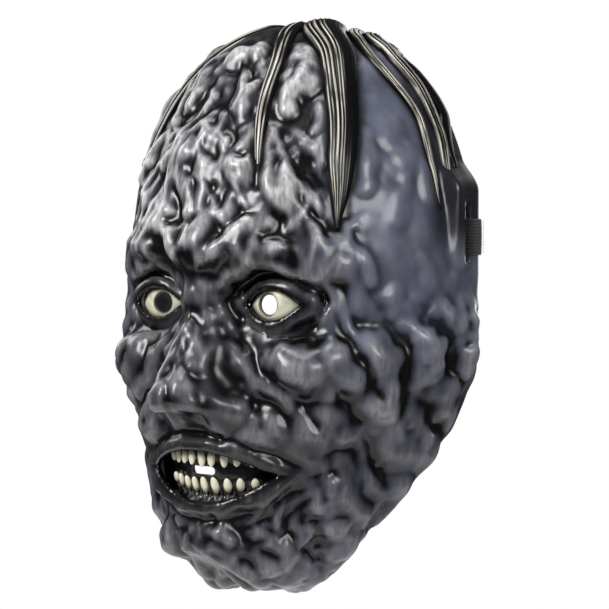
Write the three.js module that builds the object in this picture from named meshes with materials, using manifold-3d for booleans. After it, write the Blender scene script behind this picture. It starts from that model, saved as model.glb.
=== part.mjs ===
// A full-face monster mask: a thin moulded vinyl face with eye inserts, a gum tray with pegged teeth,
// foam comfort pads and an elastic head strap sewn through a slot at each temple.
//
// Units are millimetres. +Z is up, the face looks along -Y, and +X is the wearer's left.
// The origin is on the mask's middle plane, at eye height, in the flat plane of the rear rim.

import * as THREE from "three";
import { mergeVertices } from "three/addons/utils/BufferGeometryUtils.js";
import Module from "manifold-3d";

const wasm = await Module();
wasm.setup();

// ---------------------------------------------------------------- driving dimensions

const CROWN_HEIGHT = 142; // rim at the crown, above the eye line
const CHIN_HEIGHT = 148; // underside of the chin, below the eye line
const HALF_WIDTH = 95; // half the width at the cheekbones
const FACE_DEPTH = 112; // bare dome in front of the rim plane, without brow or nose
const THROAT_SETBACK = 52; // how far the rim under the jaw stands forward of the rear plane
const WALL = 2.0; // moulded vinyl
const GAP = 0.4; // glue line between pieces

const EYE = { x: 33, z: -2, centreDepth: 78, ballRadius: 24, openX: 34.5, openWidth: 30, openHeight: 16 };
const PINHOLE = { x: 32, radius: 5.5 };
const EYE_INSERT = { radius: EYE.ballRadius - WALL - 2 * GAP, thickness: 1.6, capAngle: 1.25 };

const MOUTH = { z: -85, halfWidth: 37, upperRise: 12.5, lowerDrop: 14.5 };
const TRAY = { width: 94, height: 40, pocketDepth: 5.2, rim: 4.5, floor: 1.8 };
const BREATHING_SLOT = { width: 17, height: 5.4 };
const TOOTH = { count: 9, pitch: 7.4, width: 4.2, depth: 2.4, tallest: 10.5, shortest: 6.5 };

const STRAP = { width: 18.5, thickness: 1.5, z: 31, halfSpan: 85.6, bow: 37, flatHalf: 40 };
const STRAP_DROOP = THREE.MathUtils.degToRad(25); // the relaxed elastic hangs this far below level
const STRAP_PIVOT_Y = 9.5; // where the free elastic starts, behind the rim
const SLOT = { y: -11.6, width: 5.2, bottom: 18, top: 49 };
const SLOT_PAD = { outer: 95.4, inner: 88.2, frontY: -20, backY: 0, bottom: 12, top: 55 };

const PAD = { thickness: 8, clearance: 1.3 };

// ---------------------------------------------------------------- materials

function finish(colour, roughness, metalness = 0) {
  return new THREE.MeshStandardMaterial({ color: colour, roughness, metalness });
}

const MATERIALS = {
  vinyl: finish("#3c3d46", 0.38),
  eye: finish("#cfcbb2", 0.42),
  gum: finish("#141313", 0.4),
  tooth: finish("#ddd8be", 0.4),
  elastic: finish("#1b1b1c", 0.85),
  thread: finish("#232324", 0.8),
  foam: finish("#26262a", 0.95),
};

// ---------------------------------------------------------------- the face surface

const smoothstep = THREE.MathUtils.smoothstep;

function bump(x, z, centreX, centreZ, spreadX, spreadZ, height) {
  return height * Math.exp(-(((x - centreX) / spreadX) ** 2) - ((z - centreZ) / spreadZ) ** 2);
}

function pairOfBumps(x, z, centreX, ...rest) {
  return bump(Math.abs(x), z, centreX, ...rest);
}

// A smooth maximum of two heights, rounded over about the given radius.
function blendedMax(a, b, radius) {
  const share = Math.max(radius - Math.abs(a - b), 0) / radius;
  return Math.max(a, b) + (share * share * radius) / 4;
}

// Height as a signed share: 1 at the crown rim and -1 under the chin.
function heightShare(z) {
  return z >= 0 ? z / CROWN_HEIGHT : z / CHIN_HEIGHT;
}

// Half the dome's width at a height, narrowing towards the chin.
function halfWidthAt(z) {
  const share = Math.min(Math.abs(heightShare(z)), 1);
  const roundness = z >= 0 ? 2.3 : 2.15;
  const jawTaper = 1 - 0.13 * smoothstep(-z, 20, 120);
  return HALF_WIDTH * (1 - share ** roundness) ** (1 / roundness) * jawTaper;
}

// The dome's depth on the middle plane at a height. The lower face stays fuller than the crown.
function depthAt(z) {
  const share = Math.min(Math.abs(heightShare(z)), 1);
  const fullness = z >= 0 ? 2.35 : 3.1;
  return FACE_DEPTH * (1 - share ** fullness) ** (1 / fullness);
}

function noseHeight(x, z) {
  const bridgeZ = 12;
  const tipZ = -46;
  const along = (bridgeZ - z) / (bridgeZ - tipZ);
  const width = 9 + 8 * THREE.MathUtils.clamp(along, 0, 1);
  const crest =
    along < 0
      ? 3 * Math.exp(-(((z - bridgeZ) / 10) ** 2))
      : along <= 1
        ? 3 + 23 * along ** 1.3
        : 26 * Math.exp(-(((z - tipZ) / 11) ** 2));
  return crest * Math.exp(-(Math.abs(x / width) ** 2.2));
}

// Everything that stands proud of, or sinks into, the plain dome.
function features(x, z) {
  return (
    pairOfBumps(x, z, 30, 24, 26, 12, 9) + // brow ridges
    bump(x, z, 0, 22, 14, 10, 5) + // between the brows
    pairOfBumps(x, z, 33, -2, 22, 17, -20) + // eye sockets
    noseHeight(x, z) +
    pairOfBumps(x, z, 14, -49, 9, 10, 7) + // nostril wings
    pairOfBumps(x, z, 57, -30, 20, 15, 9) + // cheekbones
    pairOfBumps(x, z, 54, -74, 15, 20, -6) + // hollow of the cheeks
    bump(x, z, 0, -84, 33, 24, 9) + // muzzle
    bump(x, z, 0, -122, 25, 14, 14) // chin
  );
}

// How far the outer face stands in front of the rear plane, at a place seen from the front.
function faceDepth(x, z) {
  const acrossShare = THREE.MathUtils.clamp(x / Math.max(halfWidthAt(z), 1e-6), -1, 1);
  const forwardShare = Math.sqrt(1 - acrossShare ** 2);
  const middle = depthAt(z);
  const throat = THROAT_SETBACK * smoothstep(-z, 45, CHIN_HEIGHT);
  const dome = throat + middle * (1 - throat / FACE_DEPTH) * forwardShare;
  const rimFade = smoothstep(forwardShare, 0, 0.4) * smoothstep(1 - Math.abs(heightShare(z)), 0, 0.12);
  const face = dome + rimFade * features(x, z);
  const offEye = Math.hypot(Math.abs(x) - EYE.x, z - EYE.z);
  const lid = EYE.centreDepth + Math.sqrt(Math.max(EYE.ballRadius ** 2 - offEye ** 2, 0));
  return offEye < EYE.ballRadius ? blendedMax(face, lid, 4) : face;
}

// The face point in a direction: turn is the angle across the face, share its signed height share.
function facePoint(turn, share) {
  const z = share * (share >= 0 ? CROWN_HEIGHT : CHIN_HEIGHT);
  const x = halfWidthAt(z) * Math.sin(turn);
  return new THREE.Vector3(x, -faceDepth(x, z), z);
}

// A point under the face: the place seen from the front, set in along the surface normal.
function underFace(x, z, inset) {
  const step = 0.5;
  const slopeX = (faceDepth(x + step, z) - faceDepth(x - step, z)) / (2 * step);
  const slopeZ = (faceDepth(x, z + step) - faceDepth(x, z - step)) / (2 * step);
  const inward = new THREE.Vector3(slopeX, 1, slopeZ).normalize();
  return new THREE.Vector3(x, -faceDepth(x, z), z).addScaledVector(inward, inset);
}

// ---------------------------------------------------------------- solids

function toSolid(geometry) {
  const bare = geometry.index ? geometry.toNonIndexed() : geometry.clone();
  const merged = mergeVertices(new THREE.BufferGeometry().setAttribute("position", bare.attributes.position), 1e-3);
  return new wasm.Manifold(
    new wasm.Mesh({
      numProp: 3,
      vertProperties: merged.attributes.position.array,
      triVerts: new Uint32Array(merged.index.array),
    }),
  );
}

function toGeometry(solid) {
  const { numProp, vertProperties, triVerts } = solid.getMesh();
  const geometry = new THREE.BufferGeometry();
  const stride = new THREE.InterleavedBuffer(vertProperties, numProp);
  geometry.setAttribute("position", new THREE.InterleavedBufferAttribute(stride, 3, 0));
  geometry.setIndex(new THREE.BufferAttribute(triVerts, 1));
  const plain = geometry.toNonIndexed();
  plain.computeVertexNormals();
  return plain;
}

function addPiece(group, name, geometry, material) {
  const mesh = new THREE.Mesh(geometry, material);
  mesh.name = name;
  group.add(mesh);
  return mesh;
}

function moveVertices(geometry, place) {
  const positions = geometry.attributes.position;
  const point = new THREE.Vector3();
  for (let i = 0; i < positions.count; i++) {
    place(point.fromBufferAttribute(positions, i));
    positions.setXYZ(i, point.x, point.y, point.z);
  }
  geometry.computeVertexNormals();
  return geometry;
}

// A slab that follows the inside of the face between two depths under its outer surface.
function slabUnderFace({ x, z, width, height, near, far, columns, rows }) {
  const slab = new THREE.BoxGeometry(width, 1, height, columns, 1, rows);
  return moveVertices(slab, (point) => {
    const inset = point.y < 0 ? near : far;
    point.copy(underFace(x + point.x, z + point.z, inset));
  });
}

// A cutter with an outline drawn as seen from the front, running right through along Y.
function frontCutter(shape, fromY, toY) {
  const cutter = new THREE.ExtrudeGeometry(shape, { depth: toY - fromY, bevelEnabled: false, curveSegments: 14 });
  cutter.rotateX(Math.PI / 2);
  return toSolid(cutter.translate(0, toY, 0));
}

// ---------------------------------------------------------------- outlines, in (x, z)

function eyeOutline(side) {
  const shape = new THREE.Shape();
  const half = EYE.openWidth / 2;
  const middle = side * EYE.openX;
  shape.moveTo(middle - half, EYE.z);
  shape.quadraticCurveTo(middle, EYE.z + EYE.openHeight, middle + half, EYE.z);
  shape.quadraticCurveTo(middle, EYE.z - EYE.openHeight, middle - half, EYE.z);
  return shape;
}

function mouthOutline() {
  const shape = new THREE.Shape();
  shape.moveTo(-MOUTH.halfWidth, MOUTH.z);
  shape.quadraticCurveTo(0, MOUTH.z + 2 * MOUTH.upperRise, MOUTH.halfWidth, MOUTH.z);
  shape.quadraticCurveTo(0, MOUTH.z - 2 * MOUTH.lowerDrop, -MOUTH.halfWidth, MOUTH.z);
  return shape;
}

function roundSlot(centreX, centreZ, width, height) {
  const radius = height / 2;
  const straight = width / 2 - radius;
  const shape = new THREE.Shape();
  shape.absarc(centreX + straight, centreZ, radius, -Math.PI / 2, Math.PI / 2);
  shape.absarc(centreX - straight, centreZ, radius, Math.PI / 2, (3 * Math.PI) / 2);
  return shape;
}

// ---------------------------------------------------------------- face shell

// The closed shell is a ball folded into itself: the front half is the outer face, and the back
// half is pushed through to become the inner face. The middle row of facets is the flat rim.
function bareShell() {
  const rows = 28;
  const columns = 84;
  const ball = new THREE.SphereGeometry(1, columns, 2 * rows + 1);
  const spread = Math.PI / (2 * rows + 1);
  const step = 1e-3;
  const nearPole = 0.993; // the surface's slope is read no closer to the crown and chin than this
  const nearRim = Math.PI / 2 - 2 * step; // nor closer to the rim
  return moveVertices(ball, (point) => {
    const row = Math.round(Math.acos(THREE.MathUtils.clamp(point.y, -1, 1)) / spread);
    const outer = row <= rows;
    const tilt = (Math.PI / 2) * (outer ? row / rows : (2 * rows + 1 - row) / rows);
    const bearing = Math.atan2(point.z, -point.x);
    const across = Math.sin(tilt) * Math.cos(bearing);
    const up = Math.sin(tilt) * Math.sin(bearing);
    const rim = tilt > Math.PI / 2 - 1e-6;
    const turn = rim ? (Math.PI / 2) * (across < 0 ? -1 : 1) : Math.atan2(across, Math.cos(tilt));
    point.copy(facePoint(turn, up));
    if (outer) return;
    const share = THREE.MathUtils.clamp(up, -nearPole, nearPole);
    const inside = THREE.MathUtils.clamp(turn, -nearRim, nearRim);
    const sideways = facePoint(inside + step, share).sub(facePoint(inside - step, share));
    const upwards = facePoint(inside, share + step * 0.4).sub(facePoint(inside, share - step * 0.4));
    const outward = sideways.cross(upwards);
    if (rim) outward.setY(0);
    if (Math.abs(across) < 1e-6) outward.setX(0);
    point.addScaledVector(outward.normalize(), -WALL);
  });
}

function slotPad(side) {
  const { outer, inner, frontY, backY, bottom, top } = SLOT_PAD;
  const pad = new THREE.BoxGeometry(outer - inner, backY - frontY, top - bottom);
  return toSolid(pad.translate((side * (outer + inner)) / 2, (frontY + backY) / 2, (bottom + top) / 2));
}

function slotCutter(side) {
  const cutter = new THREE.BoxGeometry(20, SLOT.width, SLOT.top - SLOT.bottom);
  return toSolid(cutter.translate(side * HALF_WIDTH, SLOT.y, (SLOT.bottom + SLOT.top) / 2));
}

function faceShell() {
  let shell = toSolid(bareShell());
  for (const side of [-1, 1]) {
    shell = shell.add(slotPad(side)).subtract(slotCutter(side));
    shell = shell.subtract(frontCutter(eyeOutline(side), -150, -60));
  }
  return shell.subtract(frontCutter(mouthOutline(), -150, -60));
}

// ---------------------------------------------------------------- eyes, gum tray and teeth

function eyeInsert(side) {
  const { radius, thickness, capAngle } = EYE_INSERT;
  const steps = 9;
  const profile = [];
  for (let i = 0; i <= steps; i++) {
    const angle = (capAngle * i) / steps;
    profile.push(new THREE.Vector2(radius * Math.sin(angle), radius * Math.cos(angle)));
  }
  for (let i = steps; i >= 0; i--) {
    const angle = (capAngle * i) / steps;
    const inner = radius - thickness;
    profile.push(new THREE.Vector2(inner * Math.sin(angle), inner * Math.cos(angle)));
  }
  const dome = new THREE.LatheGeometry(profile.reverse(), 28);
  dome.rotateX(Math.PI).translate(side * EYE.x, -EYE.centreDepth, EYE.z);
  const hole = new THREE.CylinderGeometry(PINHOLE.radius, PINHOLE.radius, 60, 28);
  hole.translate(side * PINHOLE.x, -EYE.centreDepth - 30, EYE.z);
  return toSolid(dome).subtract(toSolid(hole));
}

function gumTray() {
  const place = { x: 0, z: MOUTH.z, columns: 22, rows: 8 };
  const near = WALL + GAP;
  const bottom = near + TRAY.pocketDepth;
  const block = slabUnderFace({
    ...place,
    width: TRAY.width,
    height: TRAY.height,
    near,
    far: bottom + TRAY.floor,
  });
  const pocket = slabUnderFace({
    ...place,
    width: TRAY.width - 2 * TRAY.rim,
    height: TRAY.height - 2 * TRAY.rim,
    near: near - 1.5,
    far: bottom,
  });
  const slot = frontCutter(roundSlot(0, MOUTH.z, BREATHING_SLOT.width, BREATHING_SLOT.height), -150, -60);
  return toSolid(block).subtract(toSolid(pocket)).subtract(slot);
}

// Teeth stand on the tray's floor, tallest in the middle of each row.
function tooth(index, upper) {
  const offset = index - (TOOTH.count - 1) / 2;
  const edgeShare = Math.abs(offset) / ((TOOTH.count - 1) / 2);
  const height = THREE.MathUtils.lerp(TOOTH.tallest, TOOTH.shortest, edgeShare ** 1.5);
  const x = offset * TOOTH.pitch * (1 - 0.06 * edgeShare);
  const biteGap = 3.6;
  const z = MOUTH.z + (upper ? 1 : -1) * (biteGap + TOOTH.tallest / 2 - 2.2 * edgeShare ** 2);
  const onFloor = WALL + GAP + TRAY.pocketDepth - GAP - TOOTH.depth / 2;
  const peg = new THREE.SphereGeometry(1, 8, 6);
  peg.rotateX(Math.PI / 2).scale(TOOTH.width / 2, TOOTH.depth / 2, height / 2);
  const seat = underFace(x, z, onFloor);
  const inward = underFace(x, z, onFloor + 1).sub(seat);
  peg.applyQuaternion(new THREE.Quaternion().setFromUnitVectors(new THREE.Vector3(0, 1, 0), inward));
  return peg.translate(seat.x, seat.y, seat.z);
}

// ---------------------------------------------------------------- comfort pads

function comfortPad(x, z, width, height) {
  const near = WALL + PAD.clearance;
  return slabUnderFace({ x, z, width, height, near, far: near + PAD.thickness, columns: 8, rows: 4 });
}

// ---------------------------------------------------------------- strap

// A band of elastic standing on edge: an outline in plan, as tall as the strap is wide.
function standingBand(shape, segments = 10) {
  const band = new THREE.ExtrudeGeometry(shape, {
    depth: STRAP.width,
    bevelEnabled: false,
    curveSegments: segments,
  });
  return band.translate(0, 0, -STRAP.width / 2);
}

// The sewn loop: the elastic goes through the slot, round the bar behind it and back on itself.
function strapLoop(side) {
  const { thickness } = STRAP;
  const inside = SLOT_PAD.inner - GAP;
  const outside = SLOT_PAD.outer + GAP;
  const front = SLOT.y + SLOT.width / 2 - GAP;
  const back = GAP;
  const tailEnd = 15;
  const loop = new THREE.Shape();
  loop.moveTo(inside - thickness, front - thickness);
  loop.lineTo(outside + thickness, front - thickness);
  loop.lineTo(outside + thickness, back);
  loop.quadraticCurveTo(outside, back + 3, inside + thickness, back + 6);
  loop.lineTo(inside + thickness, tailEnd);
  loop.lineTo(inside - thickness, tailEnd);
  const hole = new THREE.Path();
  hole.moveTo(inside, front);
  hole.lineTo(inside, back);
  hole.lineTo(outside, back);
  hole.lineTo(outside, front);
  loop.holes.push(hole);
  const band = standingBand(loop).translate(0, 0, STRAP.z);
  return side > 0 ? band : mirrored(band);
}

// The same shape on the wearer's right, with its triangles turned to face outwards again.
function mirrored(geometry) {
  const flipped = geometry.index ? geometry.toNonIndexed() : geometry.clone();
  flipped.scale(-1, 1, 1);
  const p = flipped.attributes.position;
  for (let i = 0; i < p.count; i += 3) {
    const [x, y, z] = [p.getX(i), p.getY(i), p.getZ(i)];
    p.setXYZ(i, p.getX(i + 1), p.getY(i + 1), p.getZ(i + 1));
    p.setXYZ(i + 1, x, y, z);
  }
  flipped.computeVertexNormals();
  return flipped;
}

function stitching(side) {
  const threadHeight = 0.7;
  const outerFace = SLOT_PAD.inner - GAP + STRAP.thickness;
  const bar = new THREE.BoxGeometry(threadHeight, 4, STRAP.width - 4);
  return bar.translate(side * (outerFace + 0.3 + threadHeight / 2), 11.5, STRAP.z);
}

// The free strap in its own plane: out from the pivot, round the corner and straight across the back.
// Angles run from 0 at the pivot to a quarter turn where the straight stretch begins.
function strapCorner(angle, offset) {
  const reach = STRAP.halfSpan - STRAP.flatHalf;
  return new THREE.Vector2(
    STRAP.flatHalf + (reach + offset) * Math.cos(angle),
    (STRAP.bow + offset) * Math.sin(angle),
  );
}

function cornerPoints(from, to, offset) {
  const steps = 8;
  return Array.from({ length: steps + 1 }, (_, i) => strapCorner(from + ((to - from) * i) / steps, offset));
}

// Where the stretching middle of the strap takes over from the arm that hinges on the loop.
const ARM_END = THREE.MathUtils.degToRad(24);

// Turns a band drawn in the strap's plane into place: drooping from the pivot line.
function hangFromPivot(geometry) {
  return geometry.rotateX(-STRAP_DROOP).translate(0, STRAP_PIVOT_Y, STRAP.z);
}

function strapArm(side) {
  const outer = cornerPoints(0, ARM_END, 0);
  const inner = cornerPoints(0, ARM_END, -STRAP.thickness).reverse();
  const band = standingBand(new THREE.Shape([...outer, ...inner]));
  const eyelet = new THREE.CylinderGeometry(STRAP.width / 2, STRAP.width / 2, STRAP.thickness, 24);
  eyelet.rotateZ(Math.PI / 2).translate(STRAP.halfSpan - STRAP.thickness / 2, 0, 0);
  const arm = hangFromPivot(toGeometry(toSolid(band).add(toSolid(eyelet))));
  return side > 0 ? arm : mirrored(arm);
}

function strapBack() {
  const start = ARM_END + 0.012;
  const quarter = Math.PI / 2;
  const mirrorX = (points) => points.map((p) => new THREE.Vector2(-p.x, p.y)).reverse();
  const outer = cornerPoints(start, quarter, 0);
  const inner = cornerPoints(start, quarter, -STRAP.thickness);
  const outline = [...outer, ...mirrorX(outer), ...mirrorX(inner).reverse(), ...inner.reverse()];
  return hangFromPivot(standingBand(new THREE.Shape(outline)));
}

// ---------------------------------------------------------------- assembly

const mask = new THREE.Group();

addPiece(mask, "face_shell", toGeometry(faceShell()), MATERIALS.vinyl);
addPiece(mask, "gum_tray", toGeometry(gumTray()), MATERIALS.gum);
for (let i = 0; i < TOOTH.count; i++) {
  addPiece(mask, `upper_tooth_${i + 1}`, tooth(i, true), MATERIALS.tooth);
  addPiece(mask, `lower_tooth_${i + 1}`, tooth(i, false), MATERIALS.tooth);
}
addPiece(mask, "brow_pad", comfortPad(0, 66, 84, 24), MATERIALS.foam);
addPiece(mask, "strap_back", strapBack(), MATERIALS.elastic);

for (const [word, side] of [["left", 1], ["right", -1]]) {
  addPiece(mask, `${word}_eye_insert`, toGeometry(eyeInsert(side)), MATERIALS.eye);
  addPiece(mask, `${word}_cheek_pad`, comfortPad(side * 62, -36, 26, 38), MATERIALS.foam);
  addPiece(mask, `${word}_strap_loop`, strapLoop(side), MATERIALS.elastic);
  addPiece(mask, `${word}_stitching`, stitching(side), MATERIALS.thread);
  addPiece(mask, `${word}_strap_arm`, strapArm(side), MATERIALS.elastic);
}

export default mask;
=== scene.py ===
"""The looks of a full-face monster mask with an elastic head strap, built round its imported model.

Pieces are shaped in millimetres on the mask's own axes and leave `finish_piece` in metres: +Z is up,
the face looks along -Y, +X is the wearer's left, and the origin is at eye height on the middle plane,
in the flat plane of the rear rim.
"""

from __future__ import annotations

import logging
import math
from dataclasses import dataclass, field
from enum import Enum

import bmesh
import bpy
import numpy as np
from mathutils import Matrix, Vector, noise


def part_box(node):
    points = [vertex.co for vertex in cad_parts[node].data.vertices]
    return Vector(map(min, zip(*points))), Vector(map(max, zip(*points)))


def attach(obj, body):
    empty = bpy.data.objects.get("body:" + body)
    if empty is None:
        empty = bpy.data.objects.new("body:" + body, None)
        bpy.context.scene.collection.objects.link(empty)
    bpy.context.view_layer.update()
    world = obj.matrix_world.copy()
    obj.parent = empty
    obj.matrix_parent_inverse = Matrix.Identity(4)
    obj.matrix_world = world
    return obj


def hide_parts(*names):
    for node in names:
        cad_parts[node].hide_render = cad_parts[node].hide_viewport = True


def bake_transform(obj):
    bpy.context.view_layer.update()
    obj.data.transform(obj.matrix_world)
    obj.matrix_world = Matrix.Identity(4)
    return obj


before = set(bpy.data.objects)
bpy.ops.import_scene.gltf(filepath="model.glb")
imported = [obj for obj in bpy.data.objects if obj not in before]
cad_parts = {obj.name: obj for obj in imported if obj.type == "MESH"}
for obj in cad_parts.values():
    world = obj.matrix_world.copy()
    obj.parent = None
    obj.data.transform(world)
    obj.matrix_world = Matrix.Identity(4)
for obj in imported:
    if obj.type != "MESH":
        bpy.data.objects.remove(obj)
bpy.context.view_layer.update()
LOG = logging.getLogger("mask")
MM = 0.001


class Side(Enum):
    """The wearer's left or right, as the sign of X."""

    LEFT = 1
    RIGHT = -1

    @property
    def word(self) -> str:
        """The side's name as it stands in the node names."""
        return self.name.lower()


# ---------------------------------------------------------------- small helpers


def linear(hex_colour: str) -> tuple[float, float, float, float]:
    """Turn an sRGB colour into a linear one.

    Args:
        hex_colour: The colour as "#rrggbb".

    Returns:
        Linear red, green, blue, and an alpha of 1.
    """
    shares = [int(hex_colour[i : i + 2], 16) / 255 for i in (1, 3, 5)]
    red, green, blue = (s / 12.92 if s <= 0.04045 else ((s + 0.055) / 1.055) ** 2.4 for s in shares)
    return (red, green, blue, 1.0)


def ramp(value: np.ndarray, low: float, high: float) -> np.ndarray:
    """Rise smoothly from 0 at `low` to 1 at `high`, or fall where `low` is the larger."""
    share = np.clip((value - low) / (high - low), 0.0, 1.0)
    return share * share * (3 - 2 * share)


def bell(distance: np.ndarray, width: float) -> np.ndarray:
    """A bell curve of height 1 that is down to a third at `width`."""
    return np.exp(-((distance / width) ** 2))


def mound(
    x: np.ndarray,
    z: np.ndarray,
    middle: tuple[float, float],
    spread: tuple[float, float],
    rise: float,
) -> np.ndarray:
    """A smooth mound as seen from the front.

    Args:
        x: The places' distances across, in millimetres.
        z: The places' heights, in millimetres.
        middle: Where its top is, across and up.
        spread: How far from its top it is down to a third, across and up.
        rise: The height of its top. It is a hollow where this is negative.

    Returns:
        Its height at each place.
    """
    return rise * np.exp(-(((x - middle[0]) / spread[0]) ** 2) - ((z - middle[1]) / spread[1]) ** 2)


def soften(values: np.ndarray, passes: int) -> np.ndarray:
    """Blur a square field of values.

    Args:
        values: The field, one value for each grid point.
        passes: How often each value is averaged with its neighbours.

    Returns:
        The softened field.
    """
    for _ in range(passes):
        for axis in (0, 1):
            padded = np.concatenate(
                [values.take([0], axis), values, values.take([-1], axis)],
                axis,
            )
            before = padded.take(range(0, values.shape[axis]), axis)
            after = padded.take(range(2, values.shape[axis] + 2), axis)
            values = 0.25 * before + 0.5 * values + 0.25 * after
    return values


def read_points(bm: bmesh.types.BMesh) -> np.ndarray:
    """The vertices' places, one row each."""
    return np.array([vert.co for vert in bm.verts])


def write_points(bm: bmesh.types.BMesh, points: np.ndarray) -> None:
    """Move the vertices to new places, one row each."""
    for vert, point in zip(bm.verts, points.tolist()):
        vert.co = point


def write_layer(bm: bmesh.types.BMesh, name: str, values: np.ndarray) -> None:
    """Keep one number for each vertex, for a finish to read.

    Args:
        bm: The mesh.
        name: The name that the finish reads it by.
        values: The numbers, one for each vertex.
    """
    layer = bm.verts.layers.float.get(name) or bm.verts.layers.float.new(name)
    for vert, value in zip(bm.verts, values.tolist()):
        vert[layer] = value


def finish_piece(
    name: str,
    bm: bmesh.types.BMesh,
    materials: list[bpy.types.Material],
) -> bpy.types.Object:
    """Turn a shaped bmesh into a piece of the object.

    Args:
        name: The piece's name.
        bm: The mesh, in millimetres. It is freed.
        materials: The materials, in the order of the faces' material numbers.

    Returns:
        The new object, in metres, with its place in its mesh.
    """
    bmesh.ops.transform(bm, matrix=Matrix.Scale(MM, 4), verts=bm.verts)
    mesh = bpy.data.meshes.new(name)
    bm.to_mesh(mesh)
    bm.free()
    mesh.shade_smooth()
    for material in materials:
        mesh.materials.append(material)
    piece = bpy.data.objects.new(name, mesh)
    bpy.context.scene.collection.objects.link(piece)
    LOG.info("%s: %d faces", name, len(mesh.polygons))
    return piece


def bake_modifiers(piece: bpy.types.Object) -> None:
    """Make the piece's modifiers part of its mesh.

    Args:
        piece: The piece.
    """
    shaped = piece.evaluated_get(bpy.context.evaluated_depsgraph_get())
    mesh = bpy.data.meshes.new_from_object(shaped)
    piece.modifiers.clear()
    piece.data = mesh


def unit_rod(around: int, along: int) -> bmesh.types.BMesh:
    """A closed rod of radius 1 from z = 0 to z = 1, to be drawn out into a lock, a band or a thread.

    Args:
        around: How many faces go round it.
        along: How many go along it.

    Returns:
        The rod.
    """
    bm = bmesh.new()
    up_half = Matrix.Translation((0, 0, 0.5))
    bmesh.ops.create_cone(
        bm, cap_ends=True, cap_tris=False, segments=around, radius1=1, radius2=1, depth=1, matrix=up_half
    )
    sides = [e for e in bm.edges if abs(e.verts[0].co.z - e.verts[1].co.z) > 0.5]
    bmesh.ops.subdivide_edges(bm, edges=sides, cuts=along - 1, use_grid_fill=True)
    return bm


def rod_places(bm: bmesh.types.BMesh) -> tuple[np.ndarray, np.ndarray]:
    """Where each vertex of a unit rod is: its angle round the rod, and its share of the length."""
    points = read_points(bm)
    return np.arctan2(points[:, 1], points[:, 0]), points[:, 2]


def curve_through(controls: list[tuple[float, ...]], count: int) -> np.ndarray:
    """A smooth curve through a few points, evenly spread along its length.

    Args:
        controls: The points, in any number of dimensions.
        count: How many points the curve gets.

    Returns:
        The curve's points, one row each.
    """
    knots = np.array(controls, float)
    knots = np.vstack([2 * knots[0] - knots[1], knots, 2 * knots[-1] - knots[-2]])
    fine = []
    for i in range(1, len(knots) - 2):
        a, b, c, d = knots[i - 1 : i + 3]
        squared, cubed = 2 * a - 5 * b + 4 * c - d, 3 * b - a - 3 * c + d
        for t in np.linspace(0, 1, 24, endpoint=False):
            fine.append(0.5 * (2 * b + (c - a) * t + squared * t**2 + cubed * t**3))
    fine.append(knots[-2])
    return spread_evenly(np.array(fine), count)


def spread_evenly(points: np.ndarray, count: int) -> np.ndarray:
    """The same line with `count` points, evenly spread along its length.

    Args:
        points: The line's points, one row each.
        count: How many points it gets.

    Returns:
        The new points.
    """
    steps = np.linalg.norm(np.diff(points, axis=0), axis=1)
    travelled = np.concatenate([[0], np.cumsum(steps)])
    wanted = np.linspace(0, travelled[-1], count)
    return np.stack([np.interp(wanted, travelled, points[:, k]) for k in range(points.shape[1])], axis=1)


# ---------------------------------------------------------------- outlines of the openings


def arc_pair(middle_x: float, middle_z: float, half_width: float, rise: float, drop: float) -> np.ndarray:
    """An almond: one curve over the middle line and one under it, as seen from the front.

    Args:
        middle_x: The middle, across.
        middle_z: The height of the two corners.
        half_width: Half the distance between the corners.
        rise: How far the upper curve rises.
        drop: How far the lower curve drops.

    Returns:
        The closed outline's points.
    """
    share = np.linspace(-1, 1, 48, endpoint=False)
    bow = 1 - share**2
    upper = np.stack([middle_x + half_width * share, middle_z + rise * bow], axis=1)
    lower = np.stack([middle_x - half_width * share, middle_z - drop * bow], axis=1)
    return np.vstack([upper, lower])


def rounded_slot(middle: tuple[float, float], width: float, height: float, radius: float) -> np.ndarray:
    """A slot with round corners.

    Args:
        middle: Its middle.
        width: Its size along the first direction.
        height: Its size along the second direction.
        radius: The corners' radius.

    Returns:
        The closed outline's points.
    """
    points = []
    for corner, (sx, sz) in enumerate([(1, 1), (-1, 1), (-1, -1), (1, -1)]):
        for angle in np.linspace(0, math.pi / 2, 8) + corner * math.pi / 2:
            across = middle[0] + sx * (width / 2 - radius) + radius * math.cos(angle)
            points.append((across, middle[1] + sz * (height / 2 - radius) + radius * math.sin(angle)))
    return np.array(points)


def outline_distance(points: np.ndarray, outline: np.ndarray) -> tuple[np.ndarray, np.ndarray]:
    """How far points are from a closed outline.

    Args:
        points: The points, two columns.
        outline: The outline's points in order.

    Returns:
        The distances, negative inside, and the nearest places on the outline.
    """
    start, run = outline, np.roll(outline, -1, axis=0) - outline
    offset = points[:, None, :] - start[None, :, :]
    share = np.clip((offset * run).sum(-1) / (run * run).sum(-1), 0, 1)
    nearest = start[None] + share[..., None] * run[None]
    distance = np.linalg.norm(points[:, None, :] - nearest, axis=-1)
    best = distance.argmin(axis=1)
    x, z = points[:, 0:1], points[:, 1:2]
    end = start + run
    crosses = (start[:, 1] > z) != (end[:, 1] > z)
    slope = run[:, 0] / np.where(np.abs(run[:, 1]) < 1e-12, 1e-12, run[:, 1])
    inside = (crosses & (x < start[:, 0] + (z - start[:, 1]) * slope)).sum(axis=1) % 2 == 1
    rows = np.arange(len(points))
    return distance[rows, best] * np.where(inside, -1, 1), nearest[rows, best]


# ---------------------------------------------------------------- nodes and finishes


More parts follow.
